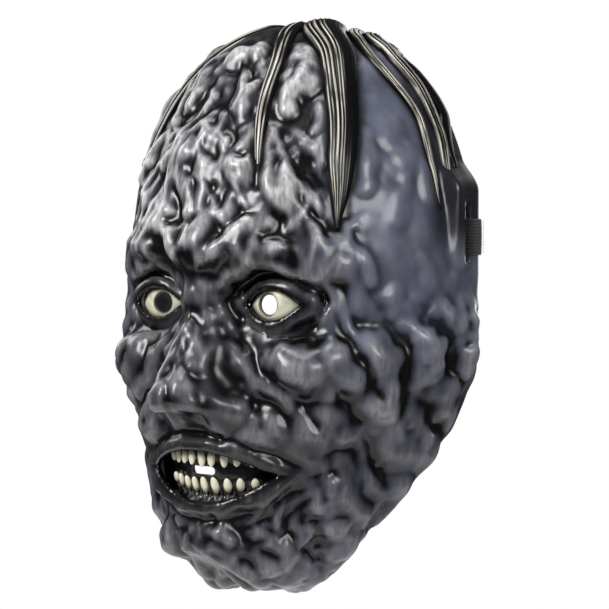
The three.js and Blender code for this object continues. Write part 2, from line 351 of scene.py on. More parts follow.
class Kind(Enum):
    """The kinds of node in the finishes: each one's type, its inputs in order, and the output it gives."""

    PLACE = ("ShaderNodeTexCoord", (), "Object")
    STRETCH = ("ShaderNodeMapping", ("Vector", "Scale"), 0)
    NOISE = ("ShaderNodeTexNoise", ("Vector", "Scale", "Detail"), "Fac")
    CELLS = ("ShaderNodeTexVoronoi", ("Vector", "Scale"), "Distance")
    KEPT = ("ShaderNodeAttribute", (), "Fac")
    JOIN = ("ShaderNodeCombineXYZ", (0, 1), 0)
    RANGE = ("ShaderNodeMapRange", ("Value", "From Min", "From Max", "To Min", "To Max"), 0)
    SUM = ("ShaderNodeMath", (0, 1), 0)
    MIX = ("ShaderNodeMix", (0, 6, 7), 2)
    BUMP = ("ShaderNodeBump", ("Height", "Distance", "Normal"), 0)


def add_node(
    material: bpy.types.Material,
    kind: Kind,
    *sources: object,
    **settings: object,
) -> bpy.types.NodeSocket:
    """Add one node with its settings and its links.

    Args:
        material: The material whose node tree it joins.
        kind: The node's kind.
        *sources: What its inputs get, in the kind's order: another node's output, or a value.
        **settings: The node's own options.

    Returns:
        The node's output.
    """
    type_name, inputs, output = kind.value
    tree = material.node_tree
    node = tree.nodes.new(type_name)
    for name, value in settings.items():
        setattr(node, name, value)
    for name, source in zip(inputs, sources):
        if isinstance(source, bpy.types.NodeSocket):
            tree.links.new(source, node.inputs[name])
        else:
            node.inputs[name].default_value = source
    return node.outputs[output]


def new_material(name: str) -> tuple[bpy.types.Material, bpy.types.Node]:
    """Start a material.

    Args:
        name: The material's name.

    Returns:
        The material, and its shader.
    """
    material = bpy.data.materials.new(name)
    material.use_nodes = True
    return material, material.node_tree.nodes["Principled BSDF"]


def object_grain(
    material: bpy.types.Material,
    grain_mm: float,
    detail: float = 3.0,
    drawn_out: float = 1.0,
) -> bpy.types.NodeSocket:
    """A grain that lies fixed on the piece: blotches of noise with a real size.

    Args:
        material: The material whose node tree it joins.
        grain_mm: The blotches' size across, in millimetres.
        detail: How fine it goes.
        drawn_out: How many times as tall as wide they are.

    Returns:
        The grain's output, from 0 to 1.
    """
    place = add_node(material, Kind.PLACE)
    upright = add_node(material, Kind.STRETCH, place, (1.0, 1.0, 1 / drawn_out))
    return add_node(material, Kind.NOISE, upright, 1 / (grain_mm * MM), detail)


def lay_on(shader: bpy.types.Node, colour: bpy.types.NodeSocket, normal: bpy.types.NodeSocket) -> None:
    """Give the shader its colour and its fine relief.

    Args:
        shader: The shader.
        colour: Where its colour comes from.
        normal: Where its bumped normal comes from.
    """
    links = shader.id_data.links
    links.new(colour, shader.inputs["Base Color"])
    links.new(normal, shader.inputs["Normal"])


@dataclass(frozen=True)
class PaintedVinyl:
    """Moulded soft PVC, airbrushed black in its folds and dry-brushed grey on its crests, then varnished.

    The black in the folds is partly painted shade, and the grey on the crests partly painted highlight.
    The varnish gives broad soft highlights that break up over an eggshell grain.
    """

    charcoal: str = "#2a2b30"
    slate: str = "#5c5f6f"
    silver: str = "#b4b1b2"
    shadow: str = "#040405"
    roughness: float = 0.42

    def dress(self) -> bpy.types.Material:
        """Make the painted skin's material. It reads the five numbers that the shell keeps for its paint.

        Returns:
            The material.
        """
        material, shader = new_material("painted_vinyl")
        blotch = object_grain(material, 16, 4)
        brush = object_grain(material, 2.4, 4, 5.0)
        wrinkle = object_grain(material, 5.5, 3)
        eggshell = object_grain(material, 1.1, 2)
        charcoal, slate = linear(self.charcoal), linear(self.slate)
        silver, shadow = linear(self.silver), linear(self.shadow)
        bluish = add_node(material, Kind.KEPT, attribute_name="slate")
        crest = add_node(material, Kind.KEPT, attribute_name="crest")
        crease = add_node(material, Kind.KEPT, attribute_name="crease")
        soot = add_node(material, Kind.KEPT, attribute_name="soot")
        matt = add_node(material, Kind.KEPT, attribute_name="matt")
        clouded = add_node(material, Kind.RANGE, blotch, 0.3, 0.62, 0.6, 1.0)
        sprayed = add_node(material, Kind.SUM, bluish, clouded, operation="MULTIPLY")
        skin = add_node(material, Kind.MIX, sprayed, charcoal, slate, data_type="RGBA")
        # Painted highlight: silver brushed onto the crests.
        strokes = add_node(material, Kind.RANGE, brush, 0.36, 0.6, 0.42, 1.0)
        brushed_highlight = add_node(material, Kind.SUM, crest, strokes, operation="MULTIPLY")
        lit = add_node(material, Kind.MIX, brushed_highlight, skin, silver, data_type="RGBA")
        # Painted shade: the creases are darkened towards the shadow colour.
        crease_shaded = add_node(material, Kind.MIX, crease, lit, shadow, data_type="RGBA")
        patchy = add_node(material, Kind.RANGE, blotch, 0.25, 0.6, 0.8, 1.0)
        # Painted shade round the eyes, mouth, nose and lock edges, and real black paint on the slicked hair.
        shade_and_black_share = add_node(material, Kind.SUM, soot, patchy, operation="MULTIPLY")
        colour = add_node(material, Kind.MIX, shade_and_black_share, crease_shaded, shadow, data_type="RGBA")
        wrinkled = add_node(material, Kind.BUMP, wrinkle, 0.22 * MM)
        normal = add_node(material, Kind.BUMP, eggshell, 0.06 * MM, wrinkled)
        lay_on(shader, colour, normal)
        gloss = add_node(material, Kind.RANGE, brush, 0.3, 0.7, self.roughness - 0.05, self.roughness + 0.07)
        dulled = add_node(material, Kind.SUM, matt, 0.3, operation="MULTIPLY")
        rough = add_node(material, Kind.SUM, gloss, dulled, operation="ADD")
        material.node_tree.links.new(rough, shader.inputs["Roughness"])
        shader.inputs["Specular IOR Level"].default_value = 0.05
        shader.inputs["Coat Weight"].default_value = 0.7
        shader.inputs["Coat Roughness"].default_value = 0.25
        return material


@dataclass(frozen=True)
class BareVinyl:
    """The unpainted inside of the moulding: black PVC with the dull, faintly pitted skin of a cast face."""

    colour: str = "#1d1d20"
    worn: str = "#2c2c31"

    def dress(self) -> bpy.types.Material:
        """Make the inside's material.

        Returns:
            The material.
        """
        material, shader = new_material("bare_vinyl")
        black, worn = linear(self.colour), linear(self.worn)
        blotch = add_node(material, Kind.RANGE, object_grain(material, 11, 4), 0.35, 0.65)
        colour = add_node(material, Kind.MIX, blotch, black, worn, data_type="RGBA")
        lay_on(shader, colour, add_node(material, Kind.BUMP, object_grain(material, 1.6, 4), 0.16 * MM))
        shader.inputs["Roughness"].default_value = 0.55
        return material


@dataclass(frozen=True)
class HairPaint:
    """Moulded hair in the same PVC: sprayed black, with pale grey dry-brushed along its ridges as a painted
    highlight.
    """

    black: str = "#090909"
    grey: str = "#cbc6ba"

    def strokes(
        self,
        material: bpy.types.Material,
        per_mm: tuple[float, float, float],
        detail: float,
    ) -> bpy.types.NodeSocket:
        """Noise drawn out along a lock. "across" and "along" are millimetres over it.

        Args:
            material: The material whose node tree it joins.
            per_mm: How many blotches a millimetre holds, across the lock and along it.
            detail: How fine it goes.

        Returns:
            The noise's output.
        """
        across = add_node(material, Kind.KEPT, attribute_name="across")
        along = add_node(material, Kind.KEPT, attribute_name="along")
        drawn = add_node(material, Kind.STRETCH, add_node(material, Kind.JOIN, across, along), per_mm)
        return add_node(material, Kind.NOISE, drawn, 1.0, detail)

    def dress(self) -> bpy.types.Material:
        """Make the hair's material. "ridge" is 1 on a ridge's crest, and "lit" where the grey painted
        highlight is brushed on.

        Returns:
            The material.
        """
        material, shader = new_material("hair_paint")
        black, grey = linear(self.black), linear(self.grey)
        streak = self.strokes(material, (1.5, 0.035, 1.0), 3.0)
        gaps = self.strokes(material, (0.3, 0.045, 1.0), 2.0)
        ridge = add_node(material, Kind.KEPT, attribute_name="ridge")
        lit = add_node(material, Kind.KEPT, attribute_name="lit")
        broken = add_node(material, Kind.RANGE, streak, 0.36, 0.5)
        held = add_node(material, Kind.RANGE, gaps, 0.34, 0.5, 0.15, 1.0)
        # Painted highlight: pale grey along the ridges on the lit part of each lock.
        line = add_node(material, Kind.SUM, ridge, lit, operation="MULTIPLY")
        worn = add_node(material, Kind.SUM, broken, held, operation="MULTIPLY")
        share = add_node(material, Kind.SUM, worn, line, operation="MULTIPLY")
        colour = add_node(material, Kind.MIX, share, black, grey, data_type="RGBA")
        lay_on(shader, colour, add_node(material, Kind.BUMP, streak, 0.18 * MM))
        shader.inputs["Roughness"].default_value = 0.42
        shader.inputs["Specular IOR Level"].default_value = 0.05
        shader.inputs["Coat Weight"].default_value = 0.3
        shader.inputs["Coat Roughness"].default_value = 0.2
        return material


@dataclass(frozen=True)
class EyePaint:
    """Cream satin paint on a thin moulded dome, darkened with black towards the lids as painted shade."""

    cream: str = "#d9d5bd"
    shade: str = "#6f6c60"
    edge: str = "#191816"

    def dress(self) -> bpy.types.Material:
        """Make the eyes' material. Its dark mark is 1 at the pinhole's edge, and beside the lids, where it is
        painted shade.

        Returns:
            The material.
        """
        material, shader = new_material("eye_paint")
        clean, shade, edge = linear(self.cream), linear(self.shade), linear(self.edge)
        grime = add_node(material, Kind.KEPT, attribute_name="grime")
        cloud = add_node(material, Kind.RANGE, object_grain(material, 4.5, 4), 0.45, 0.75, 0.0, 0.45)
        cream = add_node(material, Kind.MIX, cloud, clean, shade, data_type="RGBA")
        colour = add_node(material, Kind.MIX, grime, cream, edge, data_type="RGBA")
        lay_on(shader, colour, add_node(material, Kind.BUMP, object_grain(material, 0.9, 2), 0.03 * MM))
        shader.inputs["Roughness"].default_value = 0.36
        return material


@dataclass(frozen=True)
class GumPaint:
    """Black gloss paint over the moulded gums, with grey on the ridges round the teeth as a painted
    highlight.
    """

    black: str = "#060505"
    grey: str = "#6a6764"

    def dress(self) -> bpy.types.Material:
        """Make the gums' material. "ridge" is 1 on the ridges round the teeth.

        Returns:
            The material.
        """
        material, shader = new_material("gum_paint")
        black, grey = linear(self.black), linear(self.grey)
        ridge = add_node(material, Kind.KEPT, attribute_name="ridge")
        brush = add_node(material, Kind.RANGE, object_grain(material, 1.5, 4), 0.35, 0.65, 0.2, 1.0)
        # Painted highlight: grey on the raised ridges, broken up by the brush.
        ridge_highlight = add_node(material, Kind.SUM, ridge, brush, operation="MULTIPLY")
        colour = add_node(material, Kind.MIX, ridge_highlight, black, grey, data_type="RGBA")
        lay_on(shader, colour, add_node(material, Kind.BUMP, object_grain(material, 1.8, 4), 0.25 * MM))
        shader.inputs["Roughness"].default_value = 0.4
        shader.inputs["Specular IOR Level"].default_value = 0.15
        shader.inputs["Coat Weight"].default_value = 0.5
        shader.inputs["Coat Roughness"].default_value = 0.1
        return material


@dataclass(frozen=True)
class ToothPaint:
    """Ivory satin paint on moulded pegs, darker brown-grey at the root: uneven stain, and painted shade where
    the peg meets the gum.
    """

    ivory: str = "#e6e1c8"
    stain: str = "#5b5542"

    def dress(self) -> bpy.types.Material:
        """Make the teeth's material. "root" is 1 at the gum and 0 at the biting end.

        Returns:
            The material.
        """
        material, shader = new_material("tooth_paint")
        ivory, stain = linear(self.ivory), linear(self.stain)
        root = add_node(material, Kind.KEPT, attribute_name="root")
        cloud = add_node(material, Kind.RANGE, object_grain(material, 2.0, 3), 0.3, 0.7, 0.55, 1.0)
        # Stain, and painted shade towards the root where the tooth meets the gum.
        stain_and_root_shaded = add_node(material, Kind.SUM, root, cloud, operation="MULTIPLY")
        colour = add_node(material, Kind.MIX, stain_and_root_shaded, ivory, stain, data_type="RGBA")
        lay_on(shader, colour, add_node(material, Kind.BUMP, object_grain(material, 0.8, 3), 0.05 * MM))
        shader.inputs["Roughness"].default_value = 0.33
        return material


@dataclass(frozen=True)
class KnittedElastic:
    """Black braided elastic: rubber cores wrapped in dull polyester, with the braid's fine cross-ticks."""

    colour: str = "#040404"
    raised: str = "#2e2e30"

    def dress(self) -> bpy.types.Material:
        """Make the elastic's material. "rib" is 1 on a rib's crest, "along" is millimetres along the band.

        Returns:
            The material.
        """
        material, shader = new_material("knitted_elastic")
        black, raised = linear(self.colour), linear(self.raised)
        rib = add_node(material, Kind.KEPT, attribute_name="rib")
        along = add_node(material, Kind.KEPT, attribute_name="along")
        # The braid's ticks are about 0.9 mm apart, drawn at 1.2 mm so that they show.
        turn = add_node(material, Kind.SUM, along, 2 * math.pi / 1.2, operation="MULTIPLY")
        tick = add_node(material, Kind.RANGE, add_node(material, Kind.SUM, turn, operation="SINE"), -1.0, 1.0)
        fuzz = object_grain(material, 0.5, 2)
        worn = add_node(material, Kind.RANGE, fuzz, 0.3, 0.7, 0.4, 1.0)
        # Painted highlight: the rib crests are lighter grey, broken up by the fuzz.
        lit = add_node(material, Kind.SUM, rib, worn, operation="MULTIPLY")
        colour = add_node(material, Kind.MIX, lit, black, raised, data_type="RGBA")
        braided = add_node(material, Kind.BUMP, tick, 0.12 * MM)
        lay_on(shader, colour, add_node(material, Kind.BUMP, fuzz, 0.08 * MM, braided))
        shader.inputs["Roughness"].default_value = 0.82
        shader.inputs["Sheen Weight"].default_value = 0.25
        shader.inputs["Sheen Roughness"].default_value = 0.5
        return material


@dataclass(frozen=True)
class PolyesterThread:
    """Black polyester sewing thread, two-ply, with the faint gloss of its filaments."""

    colour: str = "#19191b"
    shine: str = "#303034"

    def dress(self) -> bpy.types.Material:
        """Make the thread's material.

        Returns:
            The material.
        """
        material, shader = new_material("polyester_thread")
        black, shine = linear(self.colour), linear(self.shine)
        ply = object_grain(material, 0.45, 2)
        filaments = add_node(material, Kind.RANGE, ply, 0.4, 0.7)
        colour = add_node(material, Kind.MIX, filaments, black, shine, data_type="RGBA")
        lay_on(shader, colour, add_node(material, Kind.BUMP, ply, 0.1 * MM))
        shader.inputs["Roughness"].default_value = 0.55
        shader.inputs["Sheen Weight"].default_value = 0.3
        return material


@dataclass(frozen=True)
class OpenFoam:
    """Charcoal polyurethane foam cut from sheet: open pores about half a millimetre across, and no gloss."""

    colour: str = "#4b4b50"
    pore: str = "#1a1a1c"

    def dress(self) -> bpy.types.Material:
        """Make the foam's material.

        Returns:
            The material.
        """
        material, shader = new_material("open_foam")
        charcoal, pore = linear(self.colour), linear(self.pore)
        # Pores of 0.5 mm are drawn at 1.1 mm so that they show.
        cells = add_node(material, Kind.CELLS, add_node(material, Kind.PLACE), 1 / (1.1 * MM))
        # Painted shade: the pores are darker than the cell walls round them.
        wall = add_node(material, Kind.RANGE, cells, 0.15, 0.55)
        colour = add_node(material, Kind.MIX, wall, pore, charcoal, data_type="RGBA")
        lay_on(shader, colour, add_node(material, Kind.BUMP, wall, 0.25 * MM))
        shader.inputs["Roughness"].default_value = 0.95
        return material


@dataclass(frozen=True)
class StudioPaper:
    """The pale matt paper of a studio floor."""

    colour: str = "#f4f4f4"
    fibre: str = "#efefef"

    def dress(self) -> bpy.types.Material:
        """Make the floor's material.

        Returns:
            The material.
        """
        material, shader = new_material("studio_paper")
        paper, fibre = linear(self.colour), linear(self.fibre)
        grain = add_node(material, Kind.RANGE, object_grain(material, 40, 2), 0.3, 0.7)
        colour = add_node(material, Kind.MIX, grain, paper, fibre, data_type="RGBA")
        material.node_tree.links.new(colour, shader.inputs["Base Color"])
        shader.inputs["Roughness"].default_value = 0.9
        return material


# ---------------------------------------------------------------- the face's plain form


@dataclass(frozen=True)
class FaceForm:
    """The face before its relief: a dome with brow, sockets, nose, cheeks and chin, in millimetres.

    A place on it is a turn across the face and a share of its height, as on a globe.
    """

    crown_height: float
    chin_height: float
    half_width: float = 95.0
    depth: float = 112.0
    throat_setback: float = 52.0
    wall: float = 2.0
    eye_x: float = 33.0
    eye_z: float = -2.0
    eye_depth: float = 78.0
    eye_radius: float = 24.0
    mouth_z: float = -85.0
    mouth_half_width: float = 37.0
    mouth_rise: float = 12.5
    mouth_drop: float = 14.5

    def height_share(self, z: np.ndarray) -> np.ndarray:
        """A height as a signed share of the way to the crown or the chin."""
        return np.where(z >= 0, z / self.crown_height, z / self.chin_height)

    def half_width_at(self, z: np.ndarray) -> np.ndarray:
        """Half the outline's width at a height.

        Args:
            z: The places' heights, in millimetres.

        Returns:
            Half the width at each height.
        """
        share = np.minimum(np.abs(self.height_share(z)), 1)
        roundness = np.where(z >= 0, 2.3, 2.15)
        taper = 1 - 0.13 * ramp(-z, 20, 120)
        return self.half_width * (1 - share**roundness) ** (1 / roundness) * taper

    def middle_depth_at(self, z: np.ndarray) -> np.ndarray:
        """The dome's depth on the middle plane at a height.

        Args:
            z: The places' heights, in millimetres.

        Returns:
            The depth at each height.
        """
        share = np.minimum(np.abs(self.height_share(z)), 1)
        fullness = np.where(z >= 0, 2.35, 3.1)
        return self.depth * (1 - share**fullness) ** (1 / fullness)

    def nose(self, x: np.ndarray, z: np.ndarray) -> np.ndarray:
        """How far the nose stands out: a widening ridge from the bridge to the tip.

        Args:
            x: The places' distances across, in millimetres.
            z: The places' heights, in millimetres.

        Returns:
            The rise at each place.
        """
        bridge_z, tip_z = 12.0, -46.0
        along = (bridge_z - z) / (bridge_z - tip_z)
        width = 9 + 8 * np.clip(along, 0, 1)
        ridge = 3 + 23 * np.clip(along, 0, 1) ** 1.3
        above = 3 * bell(z - bridge_z, 10)
        below = 26 * bell(z - tip_z, 11)
        crest = np.where(along < 0, above, np.where(along <= 1, ridge, below))
        return crest * np.exp(-(np.abs(x / width) ** 2.2))

    def features(self, x: np.ndarray, z: np.ndarray) -> np.ndarray:
        """Everything that stands proud of, or sinks into, the plain dome.

        Args:
            x: The places' distances across, in millimetres.
            z: The places' heights, in millimetres.

        Returns:
            The rise at each place, negative where the face is hollow.
        """
        side = np.abs(x)
        brow = mound(side, z, (30, 24), (26, 12), 9) + mound(x, z, (0, 22), (14, 10), 5)
        sockets = mound(side, z, (33, -2), (22, 17), -20)
        nostrils = mound(side, z, (14, -49), (9, 10), 7)
        cheeks = mound(side, z, (57, -30), (20, 15), 9) + mound(side, z, (54, -74), (15, 20), -6)
        muzzle = mound(x, z, (0, -84), (33, 24), 9) + mound(x, z, (0, -122), (25, 14), 14)
        return brow + sockets + self.nose(x, z) + nostrils + cheeks + muzzle

    def depth_at(self, x: np.ndarray, z: np.ndarray) -> np.ndarray:
        """How far the face stands in front of the rear plane, at a place seen from the front.

        Args:
            x: The places' distances across, in millimetres.
            z: The places' heights, in millimetres.

        Returns:
            The distance in front of the rear plane.
        """
        across = np.clip(x / np.maximum(self.half_width_at(z), 1e-6), -1, 1)
        forward = np.sqrt(1 - across**2)
        throat = self.throat_setback * ramp(-z, 45, self.chin_height)
        dome = throat + self.middle_depth_at(z) * (1 - throat / self.depth) * forward
        fade = ramp(forward, 0, 0.4) * ramp(1 - np.abs(self.height_share(z)), 0, 0.12)
        face = dome + fade * self.features(x, z)
        off_eye = np.hypot(np.abs(x) - self.eye_x, z - self.eye_z)
        lid = self.eye_depth + np.sqrt(np.maximum(self.eye_radius**2 - off_eye**2, 0))
        blend = np.maximum(4 - np.abs(face - lid), 0) / 4
        return np.where(off_eye < self.eye_radius, np.maximum(face, lid) + blend**2, face)

    def surface(self, turn: np.ndarray, share: np.ndarray) -> np.ndarray:
        """The places on the face at these turns and height shares.

        Args:
            turn: The places' turns, in radians.
            share: The places' height shares.

        Returns:
            The places.
        """
        z = share * np.where(share >= 0, self.crown_height, self.chin_height)
        x = self.half_width_at(z) * np.sin(turn)
        return np.stack([x, -self.depth_at(x, z), z], axis=-1)

    def frame_at(self, turn: np.ndarray, share: np.ndarray) -> tuple[np.ndarray, np.ndarray]:
        """How the place moves with the turn and with the height share.

        Args:
            turn: The places' turns, in radians.
            share: The places' height shares.

        Returns:
            The change of place for each unit of turn, and for each unit of height share.
        """
        step = 1e-3
        turn = np.clip(turn, -math.pi / 2 + 2 * step, math.pi / 2 - 2 * step)
        share = np.clip(share, -0.993, 0.993)
        sideways = (self.surface(turn + step, share) - self.surface(turn - step, share)) / (2 * step)
        upwards = (self.surface(turn, share + step) - self.surface(turn, share - step)) / (2 * step)
        return sideways, upwards

    def outward(self, turn: np.ndarray, share: np.ndarray) -> np.ndarray:
        """The unit direction straight out of the face.

        Args:
            turn: The places' turns, in radians.
            share: The places' height shares.

        Returns:
            The directions.
        """
        sideways, upwards = self.frame_at(turn, share)
        normal = np.cross(sideways, upwards)
        return normal / np.linalg.norm(normal, axis=-1, keepdims=True)

    def under(self, x: np.ndarray, z: np.ndarray, inset: np.ndarray | float) -> np.ndarray:
        """A place under the face: seen from the front, then set in along the surface's normal.

        Args:
            x: The places' distances across, in millimetres.
            z: The places' heights, in millimetres.
            inset: How far in, in millimetres.

        Returns:
            The places.
        """
        step = 0.5
        slope_x = (self.depth_at(x + step, z) - self.depth_at(x - step, z)) / (2 * step)
        slope_z = (self.depth_at(x, z + step) - self.depth_at(x, z - step)) / (2 * step)
        inward = np.stack([slope_x, np.ones_like(slope_x), slope_z], axis=-1)
        inward /= np.linalg.norm(inward, axis=-1, keepdims=True)
        place = np.stack([x, -self.depth_at(x, z), z], axis=-1)
        return place + inward * np.expand_dims(np.broadcast_to(inset, x.shape), -1)

    def at_disc(self, across: np.ndarray, up: np.ndarray) -> tuple[np.ndarray, np.ndarray]:
        """The turn and height share of a place in the unit disc that is the face seen from the front."""
        forward = np.sqrt(np.maximum(1 - across**2 - up**2, 0))
        return np.arctan2(across, np.maximum(forward, 1e-9)), up

    def eye_outline(self, side: Side) -> np.ndarray:
        """The opening between the lids."""
        return arc_pair(side.value * 34.5, self.eye_z, 15.0, 8.0, 8.0)

    def mouth_outline(self) -> np.ndarray:
        """The opening between the lips."""
        return arc_pair(0.0, self.mouth_z, self.mouth_half_width, self.mouth_rise, self.mouth_drop)


# ---------------------------------------------------------------- flesh and hair


class Ground(Enum):
    """The kinds of flesh, each with its half width, rise, length and spacing, in millimetres."""

    FOREHEAD = ((3.0, 7.0), (1.5, 3.6), (34, 105), 12.0)
    BROW = ((4.0, 7.0), (2.4, 4.2), (22, 46), 11.5)
    TEMPLE = ((6.0, 12.0), (0.9, 2.2), (6, 30), 23.0)
    NOSE = ((3.0, 5.0), (1.2, 2.4), (12, 28), 9.0)
    CHEEK = ((5.0, 10.0), (2.6, 5.2), (24, 60), 15.0)
    JAW = ((8.5, 14.5), (3.8, 7.0), (18, 48), 20.0)
    LIP = ((2.6, 4.4), (1.4, 2.6), (9, 20), 8.0)
    CHIN = ((4.5, 8.0), (2.6, 5.0), (10, 28), 13.0)
    LUMP = ((11.0, 18.0), (4.0, 7.5), (2, 16), 25.0)
    PLATE = ((9.0, 16.0), (1.8, 3.6), (20, 50), 24.0)

    @property
    def spacing(self) -> float:
        """The least distance between two growths."""
        return self.value[3]

    def draw(self, luck: np.random.Generator) -> tuple[float, float, float]:
        """A growth's half width, rise and length, drawn from this ground's ranges."""
        half_width, rise, length = (luck.uniform(*span) for span in self.value[:3])
        return half_width, rise, length


@dataclass(frozen=True)
class Strand:
    """One rounded strand or knob of flesh: the line it follows, its half width and its rise."""

    line: np.ndarray
    half_width: float
    rise: float

    @property
    def falls(self) -> bool:
        """Whether its far end is the lower one, where the flesh has run down and thickened."""
        return bool(self.line[-1, 2] < self.line[0, 2])


@dataclass
class Flesh:
    """The melted flesh that covers the form: strands that follow a grain, over low folds."""

    form: FaceForm
    seed: int = 23
    tries: int = 5200
    knots: int = 22
    union: float = 5.0

    def ground_at(self, x: float, z: float, turn: float) -> Ground:
        """Which kind of flesh grows at a place on the wearer's left half.

        Args:
            x: The place's distance across.
            z: Its height.
            turn: Its turn.

        Returns:
            The kind of flesh.
        """
        to_mouth = math.hypot(max(abs(x) - 20, 0) / 1.2, z - self.form.mouth_z)
        if z > 40:
            return Ground.TEMPLE if turn > math.radians(43) else Ground.FOREHEAD
        if z > -12 and turn > math.radians(44):
            return Ground.TEMPLE
        if z > 12:
            return Ground.BROW
        if to_mouth < 29:
            return Ground.LIP
        if z < -104:
            return Ground.CHIN if abs(x) < 38 else Ground.JAW
        if abs(x) < 15:
            return Ground.NOSE
        return Ground.JAW if turn > math.radians(48) else Ground.CHEEK

    def grain_at(self, x: np.ndarray, z: np.ndarray) -> np.ndarray:
        """The angle from sideways to upwards that strands follow on the wearer's left half.

        Args:
            x: The places' distances across, in millimetres.
            z: The places' heights, in millimetres.

        Returns:
            The angles, in radians.
        """
        fields = [
            (ramp(z, 18, 50) * 1.2, 1.57 + 0.35 * np.sin(z / 13 + x / 11)),
            (1.7 * bell(np.hypot(x - 33, (z + 2) * 1.2), 32), np.arctan2(x - 33, -(z + 2) * 1.2) + math.pi),
            (1.3 * bell(np.hypot(x / 1.6, z + 85) - 20, 17), np.arctan2(x / 1.6, -(z + 85))),
            (0.8 * ramp(z, 15, -25), np.full_like(x, -0.95)),
            (1.2 * bell(x, 11) * ramp(z, -62, -40) * ramp(z, 22, 6), np.full_like(x, 1.57)),
        ]
        total_cos = sum(weight * np.cos(2 * angle) for weight, angle in fields)
        total_sin = sum(weight * np.sin(2 * angle) for weight, angle in fields)
        return 0.5 * np.arctan2(total_sin, total_cos)

    def plant(self, luck: np.random.Generator, lumps: bool) -> list[tuple[float, float, float, float, float]]:
        """Spread growths over the left half of the face, then over the right half as its near mirror image.

        Args:
            luck: Where the places and sizes come from.
            lumps: Whether to plant the wide lumps of the forehead, cheeks and jaw, and not the strands.

        Returns:
            For each growth its turn, height share, half width, rise and length.
        """
        growths, places = [], np.zeros((0, 3))
        for _ in range(self.tries):
            turn, share = luck.uniform(0, 1.5), luck.uniform(-0.97, 0.985)
            place = self.form.surface(np.array(turn), np.array(share))
            high = place[2] > 30 and turn < 0.7
            if lumps and not high and (place[2] > -14 or place[0] < 26):
                continue
            wide = Ground.PLATE if high else Ground.LUMP
            ground = wide if lumps else self.ground_at(place[0], place[2], turn)
            if len(places) and np.linalg.norm(places - place, axis=1).min() < ground.spacing:
                continue
            places = np.vstack([places, place])
            growths.append((turn, share, *ground.draw(luck)))
        for turn, share, half_width, rise, length in list(growths):
            shift, lift, size = luck.normal(0, 0.035), luck.normal(0, 0.014), luck.normal(1, 0.1)
            growths.append((-turn + shift, min(share + lift, 0.985), half_width * size, rise * size, length))
        return growths

    def strands(self, lumps: bool) -> list[Strand]:
        """Grow every strand, or every wide lump, along the grain with a slow wobble.

        Args:
            lumps: Whether to grow the wide lumps, and not the strands.

        Returns:
            The strands or the lumps.
        """
        luck = np.random.default_rng(self.seed + lumps)
        growths = np.array(self.plant(luck, lumps))
        turn, share, half_width, rise, length = growths.T
        phase = luck.uniform(0, 2 * math.pi, len(turn))
        step = length / (self.knots - 1)
        lines = [self.form.surface(turn, share)]
        for knot in range(1, self.knots):
            place = lines[-1]
            side = np.where(place[:, 0] < 0, -1.0, 1.0)
            angle = self.grain_at(np.abs(place[:, 0]), place[:, 2]) + 0.32 * np.sin(phase + knot * 0.45)
            sideways, upwards = self.form.frame_at(turn, share)
            reach = np.linalg.norm(sideways, axis=1)
            level = sideways / reach[:, None]
            lean = (upwards * level).sum(1)
            climb = np.linalg.norm(upwards - level * lean[:, None], axis=1)
            turn = turn + step * (side * np.cos(angle) - np.sin(angle) * lean / climb) / reach
            share = np.clip(share + step * np.sin(angle) / climb, -0.98, 0.99)
            turn = np.clip(turn, -1.55, 1.55)
            lines.append(self.form.surface(turn, share))
        paths = np.stack(lines, axis=1)
        return [Strand(line, w, h) for line, w, h in zip(paths, half_width, rise)]

    def cover(self, points: np.ndarray, strands: list[Strand]) -> np.ndarray:
        """How high these strands stand at each of these places on the form.

        Args:
            points: The places.
            strands: The strands to lay over them.

        Returns:
            The height at each place, in millimetres.
        """
        height = np.zeros(points.shape[:-1])
        for strand in strands:
            low, high = strand.line.min(0) - strand.half_width, strand.line.max(0) + strand.half_width
            near = np.nonzero(np.all((points > low) & (points < high), axis=-1))
            if not len(near[0]):
                continue
            start, run = strand.line[:-1], np.diff(strand.line, axis=0)
            offset = points[near][:, None, :] - start[None]
            share = np.clip((offset * run).sum(-1) / np.maximum((run * run).sum(-1), 1e-9), 0, 1)
            gap = np.linalg.norm(offset - share[..., None] * run[None], axis=-1)
            along = (np.arange(len(run)) + share) / len(run)
            swell = 0.62 + 0.38 * ramp(np.where(strand.falls, along, 1 - along), 0.1, 0.9)
            reach = gap / (strand.half_width * swell)
            best = reach.argmin(axis=1)
            rows = np.arange(len(best))
            cap = np.maximum(1 - reach[rows, best] ** 2, 0) ** 0.8
            height[near] += (strand.rise * swell[rows, best] * cap) ** self.union
        return height ** (1 / self.union)

    def veins(self, points: np.ndarray) -> np.ndarray:
        """A net of thin ridges, drawn out downwards, from 0 to 1 at each of these places.

        Args:
            points: The places.

        Returns:
            The ridges' share at each place.
        """
        stretched = points / np.array([17.0, 17.0, 30.0])
        bent = stretched + 0.35 * np.sin(points[..., [2, 0, 1]] / 9.0)
        heights = np.array([noise.noise(Vector(p)) for p in bent.reshape(-1, 3)]).reshape(points.shape[:-1])
        return np.maximum(1 - np.abs(heights) / 0.17, 0) ** 1.2


@dataclass(frozen=True)
class Lock:
    """One moulded lock of hair: its line over the face as places in the front disc, and its sizes.

    The grey painted highlight reaches from one share of its width to another, -1 being its edge nearer the
    middle.
    """

    name: str
    controls: tuple[tuple[float, float], ...]
    half_width: tuple[float, float]
    rise: float
    ridges: float
    grey: tuple[float, float] = (-1.0, 1.0)
    point: float = 0.75

    def across_the_middle(self, name: str, shift: float) -> Lock:
        """The same lock on the other side, a little out of true.

        Args:
            name: The new lock's name.
            shift: How far it is moved sideways, as a share of the half width.

        Returns:
            The mirrored lock.
        """
        drop = abs(shift) / 2
        controls = tuple((-across + shift * up * (1 - up), up - drop) for across, up in self.controls)
        grey = (-self.grey[1], -self.grey[0])
        return Lock(name, controls, self.half_width, self.rise, self.ridges, grey, self.point)


